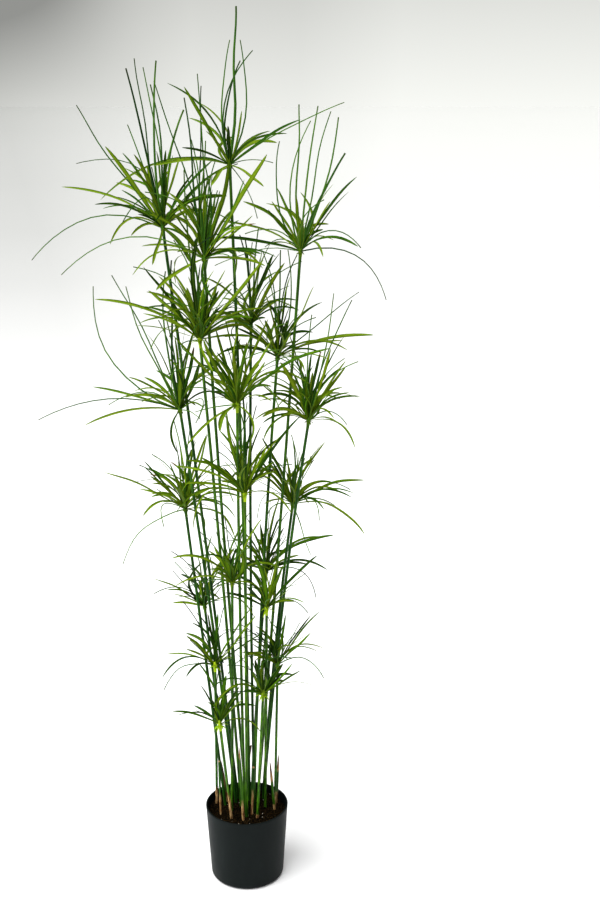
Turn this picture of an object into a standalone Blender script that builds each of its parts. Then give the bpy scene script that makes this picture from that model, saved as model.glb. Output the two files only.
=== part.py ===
"""Potted papyrus plant: a round tapered pot, its soil, planted stems, a head of leaves on each
stem, and the cut and dried stalks that stand between them.

Run with: blender --background --python part.py
Units are metres, +Z is up, and the origin is the centre of the pot's underside.
The lists below are in centimetres, except where a name says millimetres.
"""

import math

import bmesh
import bpy
import numpy as np
from mathutils import Matrix, Vector
from mathutils.bvhtree import BVHTree

CM = 0.01
MM = 0.001

# Pot: a plain tapered plastic pot with a rounded foot
POT_HEIGHT = 0.167
POT_RIM_RADIUS = 0.089
POT_FOOT_RADIUS = 0.0785
POT_WALL = 0.0035
POT_FLOOR = 0.004
POT_FOOT_ROUNDING = 0.010
POT_SIDES = 32
FOOT_ROUNDING_STEPS = 2

# Soil: fills the pot to just under the rim, a little lower round its edge
SOIL_TOP = 0.153
SOIL_EDGE_DROP = 0.003
SOIL_LEVEL_RADIUS = 0.078
GAP = 0.0003

# Stems: planted in the soil, thinner at the top
STEM_FOOT_RADIUS = 0.0038
STEM_TOP_RADIUS = 0.0035
STEM_SIDES = 6
STEM_STEPS = 4
PLANTED_TO = 0.120

# Cut and dried stalks
STALK_SIDES = 6
STALK_PLANTED_TO = 0.125

# Leaf heads: a small round boss that every leaf grows out of
HUB_RADIUS = 0.0085
HUB_FLAT = 0.60
HUB_TURNS = 24
HUB_TURN = math.radians(3)
LEAF_THICKNESS = 0.0022
LEAF_ROOT_REACH = 0.020
ROOT_WIDTH = 0.40
WIDEST_AT = 0.70
LEAF_CLEARANCE = 0.0012
SWING_STEP = 0.018
SWING_TRIES = 9
CROWDED = 0.022
TRIANGLE_SIDES = 3
PATH_SAMPLES = 9

# The spread of every head was judged by eye from here: each leaf is given as it looks from
# this point in front of the plant, looking a little down
VIEWER = Vector((0.116, -2.50, 1.67))
VIEW_PITCH = math.radians(15.7)

# Every head gets these further leaves, which point at the viewer and away, turned a little
# from head to head and smaller on the low heads: across, rise, toward, arch (cm), width (mm)
DEPTH_LEAVES = (
    (3.0, 6.5, 19.0, 1.5, 6.5),
    (-4.0, 9.0, -15.0, 2.0, 6.5),
    (5.0, 5.5, -16.0, 2.5, 6.0),
    (-1.0, 12.0, -20.0, 2.5, 5.0),
)
TURN_FROM_HEAD_TO_HEAD = math.radians(47)
DEPTH_LEAF_TURN = 0.35
LOW_HEAD_SIZE = 0.60
TOP_HEAD_HEIGHT = 152.8

# Each head: where its stem leaves the soil (x, y), where the head is (x, y, z), how far the
# stem bows to the right half way up, and its leaves. A leaf is the place of its tip, seen from
# the viewer and measured from the head: across to the right, rise up, toward the viewer; then
# arch, how far its middle stands above the straight line to the tip; and its width in mm.
HEADS = (
    dict(soil=(0.4, 3.6), head=(-1.9, 3.0, 152.8), bow=0.5, leaves=(
        (1.2, 30.5, 2, -0.4, 7), (0.0, 24.0, -4, 1.5, 5), (4.4, 22.0, 4, 3.3, 4),
        (-8.8, 15.0, 6, 0.0, 8), (-12.0, 15.7, -3, 2.7, 5), (-9.2, 3.3, 4, 0.7, 6),
        (-14.6, -0.2, 8, 1.0, 8), (-24.8, -6.7, -5, 4.0, 4), (11.0, 6.0, 3, 2.0, 6),
        (22.0, 12.0, -2, 0.9, 5), (13.6, 8.7, 10, 0.6, 7), (6.5, -4.2, 8, 0.4, 7), (-10.0, -9.0, -4, 1.0, 6))),
    dict(soil=(-2.2, 4.4), head=(-14.8, 0.0, 141.1), bow=0.3, leaves=(
        (-11.1, 15.7, 4, 0.3, 8), (-5.6, 14.2, 11, 0.7, 8), (-7.1, 30.7, 3, 0.3, 6),
        (-5.5, 32.6, -5, -0.4, 4), (-1.3, 32.2, -2, -1.0, 6), (4.0, 22.7, 5, 1.4, 6),
        (9.7, 13.1, 7, 0.9, 7), (-2.0, -7.1, 6, 0.0, 6), (-13.1, 4.5, 5, 1.6, 7),
        (-19.4, 7.9, -3, 1.9, 5), (-25.2, -6.2, 2, 5.2, 4), (-16.6, 23.6, -12, -0.5, 3.5),
        (-6.1, -1.5, 3, 1.5, 5), (5.2, -6.5, 4, 0.8, 8))),
    dict(soil=(0.0, 0.3), head=(-6.5, -6.0, 135.9), bow=-0.4, leaves=(
        (11.9, 19.8, 9, 0.0, 8), (4.8, 19.3, 7, -0.5, 8), (-3.8, 30.5, 4, 0.0, 5),
        (-1.3, 35.0, -4, 0.5, 4.5), (-9.5, 33.6, -6, 0.8, 4), (7.6, 15.0, 12, -0.5, 6),
        (9.1, 8.2, 3, 0.0, 5), (11.5, -1.3, 2, 1.0, 6), (-9.1, -5.9, 6, 0.8, 8),
        (1.7, -7.8, 5, -1.0, 6), (-27.0, -3.0, -5, 5.7, 4), (-6.0, 8.9, 8, 0.0, 7))),
    dict(soil=(2.2, 3.0), head=(11.7, 2.0, 136.4), bow=0.2, leaves=(
        (-0.3, 28.6, 2, -0.4, 5), (3.4, 28.3, -3, 0.4, 5), (7.4, 26.1, 4, -1.1, 5),
        (8.7, 19.1, 7, 0.8, 7), (11.0, 14.5, -3, 0.9, 6), (-0.9, 10.7, 6, 0.0, 7),
        (-4.1, 21.4, -5, -2.5, 4), (-6.7, 9.3, -6, 3.0, 4), (-11.2, 9.7, 4, 1.5, 8),
        (-16.5, 2.5, 8, 0.9, 8), (-15.7, 5.8, -4, 1.5, 5), (4.4, -1.1, 6, 2.3, 5),
        (11.2, 0.9, 3, 2.3, 6), (16.7, -9.5, -2, 4.7, 4))),
    dict(soil=(-1.3, 1.2), head=(-7.5, -8.0, 120.8), bow=0.3, leaves=(
        (-10.8, 13.9, 6, 0.0, 8), (-9.8, 9.4, -2, 0.5, 7), (-20.0, 7.7, 3, 1.9, 6),
        (12.1, 15.2, 8, 0.0, 7), (-0.4, 19.7, 9, -1.0, 8), (-3.4, 7.1, 9, 0.0, 6),
        (-3.0, 32.4, -5, -0.5, 5), (0.8, 10.6, 3, 0.0, 6), (2.5, -6.1, 7, -0.3, 6),
        (9.6, 0.6, -4, 0.5, 5), (3.3, 10.5, -6, 0.0, 6))),
    dict(soil=(1.4, 5.6), head=(1.5, 12.0, 120.1), bow=-0.4, leaves=(
        (-2.3, 18.5, -2, 0.7, 5), (6.0, 14.8, 2, 1.2, 5), (2.3, 15.5, -6, 0.0, 4.5),
        (-6.0, 5.5, -3, 1.5, 5), (-7.5, 2.7, 4, 0.6, 7), (5.6, 5.0, 3, 0.5, 6),
        (10.0, 3.0, -4, 2.0, 5), (-12.0, -3.0, -6, 3.0, 4))),
    dict(soil=(1.5, -1.0), head=(7.1, 3.0, 115.2), bow=-0.6, leaves=(
        (7.3, 14.2, 6, -0.2, 7), (0.6, 21.4, -3, 0.0, 5), (-2.9, 21.0, -7, 1.0, 4),
        (3.9, 20.4, 3, 1.4, 4.5), (-9.5, 8.2, 6, 0.6, 8), (-10.7, 4.0, -4, 1.9, 5),
        (19.3, 4.4, 3, 1.4, 7), (8.9, 0.8, -5, 1.3, 5), (10.5, -0.6, 6, 1.2, 4),
        (16.3, 13.0, -4, 0.3, 4), (5.4, -3.0, 7, 1.8, 5), (2.7, 5.2, 9, 0.0, 6), (-2.5, 7.4, -5, 0.0, 7))),
    dict(soil=(-2.5, 2.7), head=(-12.3, -1.0, 105.3), bow=0.4, leaves=(
        (-0.4, -8.7, 3, 1.6, 5), (-19.0, -3.1, 3, 1.6, 5), (-17.4, 4.6, -3, 0.5, 5),
        (-28.2, -2.0, -5, 3.2, 4), (-10.3, 6.5, 6, 0.9, 8), (-11.2, 2.6, -6, 1.4, 5),
        (-10.8, 24.6, 2, -1.0, 5), (-13.6, 26.8, -6, 0.5, 4), (-2.9, 27.6, -2, -1.5, 5),
        (-1.7, 29.8, 4, -0.9, 5), (4.0, 9.6, 7, -0.5, 8), (2.8, 12.6, -2, 0.0, 7), (4.8, 0.4, 4, 1.2, 4))),
    dict(soil=(-0.4, -1.6), head=(-0.5, -9.0, 108.3), bow=-0.2, leaves=(
        (-12.4, 13.4, 3, 0.0, 7), (-6.5, 12.4, 8, -0.4, 8), (-7.5, 5.2, -4, 0.3, 6),
        (-4.1, 14.5, -6, 0.0, 6), (-0.8, 9.9, 9, 0.0, 8), (1.9, 12.1, -3, 0.3, 6),
        (6.8, 12.6, 7, 0.2, 6), (18.0, 10.9, 5, 1.8, 6), (-9.7, -7.9, 3, 0.9, 5),
        (-3.3, -5.1, 9, 1.1, 8), (2.7, -6.8, 4, 1.6, 5))),
    dict(soil=(3.5, 4.3), head=(13.3, -3.0, 103.5), bow=-0.8, leaves=(
        (-9.2, 0.8, 6, 2.0, 8), (-10.8, 0.2, -5, 2.4, 4.5), (-9.8, 7.7, -4, 0.0, 4.5),
        (-5.6, 11.7, 7, 0.5, 8), (-0.7, 9.5, 3, 0.0, 6), (4.4, 14.4, 6, -0.2, 7),
        (7.5, 11.0, -2, 0.2, 6), (5.0, 25.3, -5, -0.5, 4), (8.6, 24.0, 4, 1.0, 4),
        (9.2, -5.3, 3, 2.6, 5), (5.9, -0.4, 6, 1.0, 4.5), (4.3, 3.8, 10, 0.5, 6))),
    dict(soil=(-4.8, 1.6), head=(-12.1, 3.0, 83.2), bow=0.0, leaves=(
        (-8.6, 10.0, 5, 0.0, 6), (-8.5, 8.7, -6, 0.3, 4.5), (-16.8, 7.6, 3, 0.6, 6),
        (-9.5, 4.1, -3, 0.8, 7), (-8.8, -1.5, 6, 2.4, 6), (-12.9, -11.4, 2, 2.6, 4),
        (-3.2, 9.5, -5, 0.0, 4.5), (-1.3, 4.6, 10, 0.0, 7), (4.7, 15.6, 4, 0.0, 7),
        (5.5, 4.4, 6, 0.8, 7), (10.3, -6.1, 3, 2.8, 4.5))),
    dict(soil=(0.1, -3.2), head=(0.8, -9.0, 90.3), bow=0.0, leaves=(
        (-13.8, 5.5, -3, 1.3, 5), (-8.5, 7.1, 4, 0.3, 8), (-11.8, 2.0, 5, 1.0, 5),
        (-3.6, 16.2, 7, -0.5, 6), (-0.4, 19.3, 3, 0.3, 7), (1.2, 11.4, 9, 0.0, 6),
        (11.0, 15.4, 3, 0.7, 6), (4.3, 9.5, 9, 0.0, 6), (5.5, 3.2, 6, 1.0, 5), (-2.0, 9.0, -5, 0.0, 7))),
    dict(soil=(3.4, 6.2), head=(10.1, 5.0, 83.6), bow=-0.6, leaves=(
        (-6.5, 13.9, 5, 0.5, 7), (-7.8, 10.7, -3, 0.0, 6), (-6.4, 6.2, 6, 0.4, 5),
        (-1.2, 10.0, -4, 0.0, 4.5), (3.8, 10.1, -9, 0.0, 4), (0.4, 6.8, 9, 0.0, 7),
        (5.9, 4.9, 5, 0.7, 7), (15.0, 5.0, -2, 1.4, 7), (9.0, -0.5, -5, 1.5, 4.5),
        (6.5, -1.2, 6, 2.0, 5), (15.0, -6.4, 3, 2.9, 6), (3.7, -10.5, 5, 0.0, 4))),
    dict(soil=(-3.3, -0.6), head=(-2.1, -7.0, 70.8), bow=0.1, leaves=(
        (-12.2, 5.0, 4, 2.6, 6), (-3.7, 7.5, -4, 0.0, 5), (1.6, 7.1, 8, -1.4, 7),
        (-11.4, -0.6, 3, 1.7, 5), (-3.1, 2.0, 10, 0.3, 7), (-4.9, 4.3, 7, 0.8, 7),
        (1.2, 6.3, -2, 0.0, 7), (6.0, -2.0, -5, 0.6, 4.5))),
    dict(soil=(0.9, 2.2), head=(4.4, 9.0, 67.2), bow=-0.3, leaves=(
        (14.5, 7.7, 5, 1.9, 7), (12.6, 7.3, -3, 2.3, 6), (7.0, 3.4, 7, 0.5, 7),
        (13.1, 0.2, 3, 2.3, 6), (8.7, 1.5, -5, 0.9, 5), (-1.4, 10.3, -3, 0.0, 5),
        (3.8, 8.2, 3, 0.0, 4.5), (-3.1, 8.8, 4, 0.6, 4.5), (-3.5, 6.0, -5, 0.0, 6))),
    dict(soil=(-4.2, 4.6), head=(-8.8, 6.0, 60.4), bow=0.0, leaves=(
        (-10.8, 5.8, 3, 0.6, 5), (-7.0, 2.6, -3, 0.3, 5), (-6.8, 7.5, -6, 0.0, 4.5),
        (-0.4, 9.4, 5, -3.0, 7), (3.7, 4.5, 6, -0.3, 7), (-4.6, 3.0, 8, 0.0, 5),
        (-1.0, 5.5, -3, 0.0, 7), (4.1, 1.3, -4, 0.4, 4.5))),
    dict(soil=(4.0, 0.9), head=(4.8, -6.0, 64.9), bow=0.0, leaves=(
        (-2.8, 11.0, 6, 0.9, 8), (-4.0, 4.4, 8, 0.0, 8), (-3.4, 8.1, -5, 0.4, 5),
        (10.4, 10.8, 4, 0.5, 6), (7.9, 7.1, -7, 0.3, 4), (2.1, 9.7, 7, 0.0, 6),
        (5.3, 4.5, 8, 0.0, 5), (3.3, 8.7, -3, 0.0, 6))),
    dict(soil=(-6.7, 2.3), head=(-6.0, -5.0, 51.8), bow=0.0, leaves=(
        (-11.0, -2.7, 3, 3.0, 5), (-6.0, -2.5, 6, 1.4, 5), (-10.0, 2.3, -4, 0.9, 4.5),
        (-6.0, 6.0, 5, 0.4, 7), (8.5, 10.4, 4, -0.3, 6), (9.8, 6.4, 8, 0.3, 6),
        (2.7, 5.0, -3, 0.0, 5), (0.6, 10.8, 6, 0.0, 6), (-5.2, 5.2, -6, 0.0, 4.5))),
    dict(soil=(6.1, 1.2), head=(6.9, -2.0, 50.5), bow=0.0, leaves=(
        (8.9, 11.2, 4, 0.4, 7), (7.0, 6.7, 7, 0.0, 5), (1.7, 10.5, -3, 0.0, 5),
        (0.3, 5.6, 8, 0.9, 6), (-5.7, 5.6, 5, 0.6, 5), (-7.4, 2.6, 6, 0.5, 6),
        (-11.5, 7.2, -6, 3.0, 4), (-1.4, 5.6, -5, 0.0, 7))),
    dict(soil=(2.4, -3.6), head=(4.0, -8.0, 46.7), bow=0.0, leaves=(
        (7.7, 4.8, 3, 0.1, 5), (6.0, 6.3, 6, -0.3, 5), (4.1, 6.3, -3, 0.0, 7),
        (-4.0, 0.6, 7, 0.3, 7), (-6.4, 1.7, 4, 0.9, 5), (-1.7, 7.1, -3, 0.0, 7))),
    dict(soil=(-3.2, -3.8), head=(-5.1, -7.0, 39.3), bow=0.0, leaves=(
        (-10.0, 2.7, 3, 0.7, 5), (-5.4, 3.9, -3, 0.3, 6), (-5.2, 2.9, 6, 0.3, 5),
        (1.3, 10.3, 4, 0.0, 8), (4.1, 7.8, -2, 0.2, 7), (4.8, 5.0, 7, 0.3, 7))),
)

# Stalks that were cut off or dried up: foot (x, y), top (x, y, z), foot and top radius in mm.
# A top radius of nought is a dried, pointed tip.
STALKS = dict(
    cut_stalk_left=dict(foot=(-5.6, -2.2), top=(-5.8, -1.8, 27.8), foot_mm=2.4, top_mm=2.2),
    cut_stalk_middle=dict(foot=(1.2, -2.1), top=(1.6, -2.1, 26.6), foot_mm=3.0, top_mm=2.8),
    dried_stalk_left=dict(foot=(-4.6, 3.2), top=(-5.7, 3.2, 25.1), foot_mm=3.0, top_mm=0),
    dried_stalk_front=dict(foot=(-0.6, -4.6), top=(-1.3, -4.6, 32.7), foot_mm=2.9, top_mm=0),
    dried_stalk_back=dict(foot=(-0.9, 5.0), top=(0.8, 5.4, 27.6), foot_mm=2.8, top_mm=1.8),
    dried_stalk_right=dict(foot=(6.0, -0.1), top=(5.1, -0.4, 27.0), foot_mm=2.6, top_mm=0),
    dried_stalk_far_right=dict(foot=(6.4, 2.6), top=(6.9, 2.7, 26.8), foot_mm=2.6, top_mm=0),
)

COLOURS = dict(
    pot_plastic=((0.035, 0.040, 0.042, 1.0), 0.55),
    potting_soil=((0.035, 0.020, 0.012, 1.0), 0.95),
    stem_green=((0.070, 0.200, 0.035, 1.0), 0.50),
    leaf_green=((0.130, 0.260, 0.020, 1.0), 0.45),
    dried_tan=((0.330, 0.230, 0.110, 1.0), 0.80),
)


def clear_scene():
    """Start from an empty scene."""
    for old in list(bpy.data.objects):
        bpy.data.objects.remove(old, do_unlink=True)


def material(name):
    """The Principled BSDF material of this name, made when it is first asked for."""
    found = bpy.data.materials.get(name)
    if found:
        return found
    colour, roughness = COLOURS[name]
    made = bpy.data.materials.new(name)
    made.use_nodes = True
    shader = made.node_tree.nodes["Principled BSDF"]
    shader.inputs["Base Color"].default_value = colour
    shader.inputs["Roughness"].default_value = roughness
    shader.inputs["Metallic"].default_value = 0.0
    return made


def add_object(name, mesh_source, material_name, smooth=True):
    """Turn a bmesh into a named object, with its faces pointing out."""
    bmesh.ops.recalc_face_normals(mesh_source, faces=mesh_source.faces)
    mesh = bpy.data.meshes.new(name)
    mesh_source.to_mesh(mesh)
    mesh_source.free()
    mesh.materials.append(material(material_name))
    if smooth:
        mesh.shade_smooth()
        mesh.set_sharp_from_angle(angle=math.radians(40))
    made = bpy.data.objects.new(name, mesh)
    bpy.context.scene.collection.objects.link(made)
    return made


def turned(profile, sides):
    """A solid of revolution about Z from (radius, z) points, closed by a flat face at both ends."""
    shape = bmesh.new()
    rings = []
    for radius, height in profile:
        angles = [2 * math.pi * side / sides for side in range(sides)]
        rings.append([shape.verts.new((radius * math.cos(a), radius * math.sin(a), height)) for a in angles])
    join_rings(shape, rings)
    return shape


def join_rings(shape, rings):
    """Skin a row of rings, closed by a flat face at each end or by a tip that is a single point."""
    shape.faces.new(reversed(rings[0]))
    sides = len(rings[0])
    for lower, upper in zip(rings, rings[1:]):
        for side in range(sides):
            after = (side + 1) % sides
            if len(upper) == 1:
                shape.faces.new((lower[side], lower[after], upper[0]))
            else:
                shape.faces.new((lower[side], lower[after], upper[after], upper[side]))
    if len(rings[-1]) > 1:
        shape.faces.new(rings[-1])


def tube(points, radii, sides):
    """A closed tube with rings square to its path. A last radius of nought closes it to a tip."""
    shape = bmesh.new()
    rings = []
    for index, (point, radius) in enumerate(zip(points, radii)):
        if radius == 0.0:
            rings.append([shape.verts.new(point)])
            continue
        before = points[max(0, index - 1)]
        after = points[min(len(points) - 1, index + 1)]
        square = Vector((0.0, 0.0, 1.0)).rotation_difference(after - before)
        ring = []
        for side in range(sides):
            angle = 2 * math.pi * side / sides
            spoke = Vector((math.cos(angle), math.sin(angle), 0.0)) * radius
            ring.append(shape.verts.new(point + square @ spoke))
        rings.append(ring)
    join_rings(shape, rings)
    return shape


def pot_radius(height):
    """Outer radius of the pot's straight tapered side at a height."""
    return POT_FOOT_RADIUS + (POT_RIM_RADIUS - POT_FOOT_RADIUS) * height / POT_HEIGHT


def build_pot():
    """The thin-walled pot: rounded foot, tapered side, plain rim and closed floor."""
    profile = []
    rounding_centre = (pot_radius(POT_FOOT_ROUNDING) - POT_FOOT_ROUNDING, POT_FOOT_ROUNDING)
    for step in range(FOOT_ROUNDING_STEPS + 1):
        angle = math.radians(-90 + 90 * step / FOOT_ROUNDING_STEPS)
        profile.append((rounding_centre[0] + POT_FOOT_ROUNDING * math.cos(angle),
                        rounding_centre[1] + POT_FOOT_ROUNDING * math.sin(angle)))
    profile.append((POT_RIM_RADIUS, POT_HEIGHT))
    profile.append((POT_RIM_RADIUS - POT_WALL, POT_HEIGHT))
    profile.append((pot_radius(POT_FOOT_ROUNDING) - POT_WALL, POT_FOOT_ROUNDING))
    profile.append((rounding_centre[0] - POT_WALL, POT_FLOOR))
    return add_object("pot", turned(profile, POT_SIDES), "pot_plastic")


def stem_path(head, steps):
    """Points up a stem, from the soil's surface to the underside of its head."""
    foot = Vector((head["soil"][0] * CM, head["soil"][1] * CM, SOIL_TOP))
    top = Vector(head["head"]) * CM
    points = []
    for step in range(steps + 1):
        along = step / steps
        bow = head["bow"] * CM * 4 * along * (1 - along)
        points.append(foot.lerp(top, along) + Vector((bow, 0.0, 0.0)))
    return points


def growing_direction(head):
    """Direction in which a stem reaches its head."""
    path = stem_path(head, STEM_STEPS)
    return (path[-1] - path[-2]).normalized()


def planted(points, depth_z):
    """The points with one more below them, straight down the line of the first two."""
    down = (points[0] - points[1]).normalized()
    buried = points[0] + down * ((points[0].z - depth_z) / -down.z)
    return [buried] + points


def stem_outline(head):
    """Points and radii of a planted stem, ending just under its head's flat underside."""
    points = stem_path(head, STEM_STEPS)
    points[-1] = points[-1] - growing_direction(head) * (HUB_RADIUS * HUB_FLAT + GAP)
    radii = [STEM_FOOT_RADIUS]
    for step in range(STEM_STEPS + 1):
        radii.append(STEM_FOOT_RADIUS + (STEM_TOP_RADIUS - STEM_FOOT_RADIUS) * step / STEM_STEPS)
    return planted(points, PLANTED_TO), radii


def stalk_outline(stalk):
    """Points and radii of a cut or dried stalk."""
    foot = Vector((stalk["foot"][0] * CM, stalk["foot"][1] * CM, SOIL_TOP))
    top = Vector(stalk["top"]) * CM
    middle = foot.lerp(top, 0.6)
    middle_mm = stalk["foot_mm"] * 0.5 + stalk["top_mm"] * 0.5 if stalk["top_mm"] else stalk["foot_mm"] * 0.85
    radii = [stalk["foot_mm"] * MM, stalk["foot_mm"] * MM, middle_mm * MM, stalk["top_mm"] * MM]
    return planted([foot, middle, top], STALK_PLANTED_TO), radii


def planting_cutter(name, points, radii, sides):
    """A hidden cutter that makes the hole for a planted stem: the stem with a thin gap round it."""
    down = (points[0] - points[1]).normalized()
    lowest = points[0] + down * GAP
    highest = points[1] - down * (SOIL_TOP - PLANTED_TO)
    wider = [radius / math.cos(math.pi / sides) + GAP for radius in radii[:2]]
    cutter = add_object(name, tube([lowest, highest], wider, sides), "potting_soil", smooth=False)
    cutter.hide_render = True
    cutter.display_type = "WIRE"
    return cutter


def build_soil(outlines):
    """The soil that fills the pot, with a hole for every planted stem and stalk."""
    wall = POT_WALL / math.cos(math.pi / POT_SIDES) + GAP * 2
    floor = POT_FLOOR + GAP
    edge_top = SOIL_TOP - SOIL_EDGE_DROP
    foot_radius = pot_radius(POT_FOOT_ROUNDING)
    profile = [
        (foot_radius - POT_FOOT_ROUNDING - wall, floor),
        (foot_radius - wall, POT_FOOT_ROUNDING),
        (pot_radius(edge_top) - wall, edge_top),
        (SOIL_LEVEL_RADIUS, SOIL_TOP),
    ]
    soil = add_object("soil", turned(profile, POT_SIDES), "potting_soil")
    for number, (points, radii, sides) in enumerate(outlines, start=1):
        cutter = planting_cutter(f"planting_hole_{number:02d}", points, radii, sides)
        hole = soil.modifiers.new(cutter.name, "BOOLEAN")
        hole.operation = "DIFFERENCE"
        hole.solver = "EXACT"
        hole.object = cutter
    return soil


def as_seen(centre, flat, depth):
    """The point that is seen at a flat offset from a centre, at a depth toward the viewer.

    The offset is across and up in the viewer's picture, as far off as the centre is. A point
    nearer to the viewer lies on the same line of sight.
    """
    sight = VIEWER - centre
    offset = Vector((flat.x, flat.y * math.sin(VIEW_PITCH), flat.y * math.cos(VIEW_PITCH)))
    return centre + offset * (1 - depth / sight.length) + sight.normalized() * depth


def leaf_curve(head, leaf, swing):
    """Root, middle and tip of a leaf, swung toward (or away from) the viewer by some metres."""
    centre = Vector(head["head"]) * CM
    flat = Vector((leaf[0], leaf[1])) * CM
    above = Vector((-flat.y, flat.x)) if flat.x >= 0 else Vector((flat.y, -flat.x))
    middle = flat * 0.5 + above.normalized() * leaf[3] * CM
    depth = leaf[2] * CM + swing
    return centre, as_seen(centre, middle, depth * 0.5), as_seen(centre, flat, depth)


def on_curve(curve, along):
    """Point on the smooth curve that passes through a leaf's root, middle and tip."""
    root, middle, tip = curve
    pull = middle * 2 - (root + tip) * 0.5
    return root * (1 - along) ** 2 + pull * 2 * along * (1 - along) + tip * along ** 2


def leaf_start(curve):
    """How far along its curve a leaf has its first ring."""
    return LEAF_ROOT_REACH / max(2 * LEAF_ROOT_REACH, (curve[2] - curve[0]).length)


def leaf_half_width(leaf, along):
    """Half width of a strap-shaped leaf: narrow at the root, widest past the middle, then a point."""
    full = leaf[4] * MM / 2
    if along < WIDEST_AT:
        return full * (ROOT_WIDTH + (1 - ROOT_WIDTH) * math.sin(math.pi / 2 * along / WIDEST_AT))
    return full * math.sqrt(max(0.0, 1 - ((along - WIDEST_AT) / (1 - WIDEST_AT)) ** 2))


class Thicket:
    """Everything that has grown so far, as short thick lines, for keeping new leaves clear of it."""

    def __init__(self):
        self.starts = []
        self.ends = []
        self.radii = []
        self.owners = []

    def add(self, points, radii, owner):
        """Remember a path and its radii."""
        for index in range(len(points) - 1):
            self.starts.append(np.array(points[index]))
            self.ends.append(np.array(points[index + 1]))
            self.radii.append(max(radii[index], radii[index + 1]))
            self.owners.append(owner)

    def clearance(self, points, radii, owner, centre):
        """Smallest free distance from a path to everything else.

        Near its own head a leaf may come close to its neighbours, because they grow out of
        the same boss.
        """
        starts, ends = np.array(self.starts), np.array(self.ends)
        sizes = np.array(self.radii)
        own = np.array([name == owner for name in self.owners])
        middles = (starts + ends) / 2
        near_boss = own & (np.linalg.norm(middles - np.array(centre), axis=1) < CROWDED)
        least = 1.0
        for index in range(len(points) - 1):
            first, second = np.array(points[index]), np.array(points[index + 1])
            far = np.linalg.norm((first + second) / 2 - np.array(centre)) > CROWDED
            use = ~own if not far else ~near_boss
            if not use.any():
                continue
            gaps = segment_distances(first, second, starts[use], ends[use]) - sizes[use]
            least = min(least, gaps.min() - max(radii[index], radii[index + 1]))
        return least


def segment_distances(first, second, starts, ends):
    """Distance from the segment first-second to each of many segments."""
    one = second - first
    others = ends - starts
    offset = first - starts
    a = one @ one
    e = np.einsum("ij,ij->i", others, others)
    f = np.einsum("ij,ij->i", others, offset)
    c = offset @ one
    b = others @ one
    scale = a * e - b * b
    safe = np.where(scale > 1e-14, scale, 1.0)
    s = np.where(scale > 1e-14, np.clip((b * f - c * e) / safe, 0.0, 1.0), 0.0)
    t = np.clip((b * s + f) / np.maximum(e, 1e-14), 0.0, 1.0)
    s = np.clip((b * t - c) / a, 0.0, 1.0)
    nearest_one = first + np.outer(s, one)
    nearest_others = starts + others * t[:, None]
    return np.linalg.norm(nearest_one - nearest_others, axis=1)


def leaves_of(number, head):
    """All leaves of a head: its own, then the ones toward and away from the viewer."""
    turn = math.sin(number * TURN_FROM_HEAD_TO_HEAD) * DEPTH_LEAF_TURN
    size = LOW_HEAD_SIZE + (1 - LOW_HEAD_SIZE) * head["head"][2] / TOP_HEAD_HEIGHT
    further = []
    for across, rise, toward, arch, width in DEPTH_LEAVES:
        turned_across = across + toward * turn
        turned_toward = toward * (1 - abs(turn) / 2)
        further.append((turned_across * size, rise * size, turned_toward * size, arch * size, width))
    return list(head["leaves"]) + further


def grow_leaves(number, head, thicket):
    """Curves of the leaves that fit: each is swung toward or away from the viewer until clear."""
    owner = f"leaf_head_{number:02d}"
    centre = Vector(head["head"]) * CM
    grown = []
    for leaf in leaves_of(number, head):
        for attempt in range(2 * SWING_TRIES + 1):
            side = 1 if attempt % 2 else -1
            curve = leaf_curve(head, leaf, side * ((attempt + 1) // 2) * SWING_STEP)
            first = leaf_start(curve)
            alongs = [first + (1 - first) * step / PATH_SAMPLES for step in range(PATH_SAMPLES + 1)]
            points = [on_curve(curve, along) for along in alongs]
            radii = [leaf_half_width(leaf, along) for along in alongs]
            if thicket.clearance(points, radii, owner, centre) > LEAF_CLEARANCE:
                thicket.add(points, radii, owner)
                grown.append((curve, leaf))
                break
    return grown


def hub_shape(centre, direction, spin):
    """The boss of a head: a small ball with a flat underside square to the stem."""
    shape = bmesh.new()
    bmesh.ops.create_icosphere(shape, subdivisions=2, radius=HUB_RADIUS)
    for vert in shape.verts:
        vert.co.z = max(vert.co.z, -HUB_RADIUS * HUB_FLAT)
    turn = Vector((0.0, 0.0, 1.0)).rotation_difference(direction).to_matrix().to_4x4()
    placed = Matrix.Translation(centre) @ turn @ Matrix.Rotation(spin, 4, "Z")
    bmesh.ops.transform(shape, matrix=placed, verts=shape.verts)
    bmesh.ops.recalc_face_normals(shape, faces=shape.faces)
    return shape


def faces_for_leaves(shape, centre, stem_direction, roots):
    """One face of the boss for each leaf root, shared out so that the leaves don't cross.

    The faces under the boss, round the stem, stay free. Faces are swapped as long as that
    brings the faces and the roots closer together.
    """
    free = []
    for face in shape.faces:
        outward = (face.calc_center_median() - centre).normalized()
        if len(face.verts) == TRIANGLE_SIDES and outward.dot(stem_direction) > -HUB_FLAT:
            free.append(face)
    reach = [[(face.calc_center_median() - root).length for root in roots] for face in free]
    order = list(range(len(free)))
    improved = True
    while improved:
        improved = False
        for one in range(len(roots)):
            for other in range(one + 1, len(order)):
                now = reach[order[one]][one]
                swapped = reach[order[other]][one]
                if other < len(roots):
                    now += reach[order[other]][other]
                    swapped += reach[order[one]][other]
                if swapped < now - 1e-6:
                    order[one], order[other] = order[other], order[one]
                    improved = True
    return [free[number] for number in order[:len(roots)]]


def leaf_steps(curve, leaf):
    """How many rings a leaf needs: more where it is long or bent."""
    length = (curve[2] - curve[0]).length
    return 3 if length > 0.19 or abs(leaf[3]) > 1.4 else 2


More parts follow.
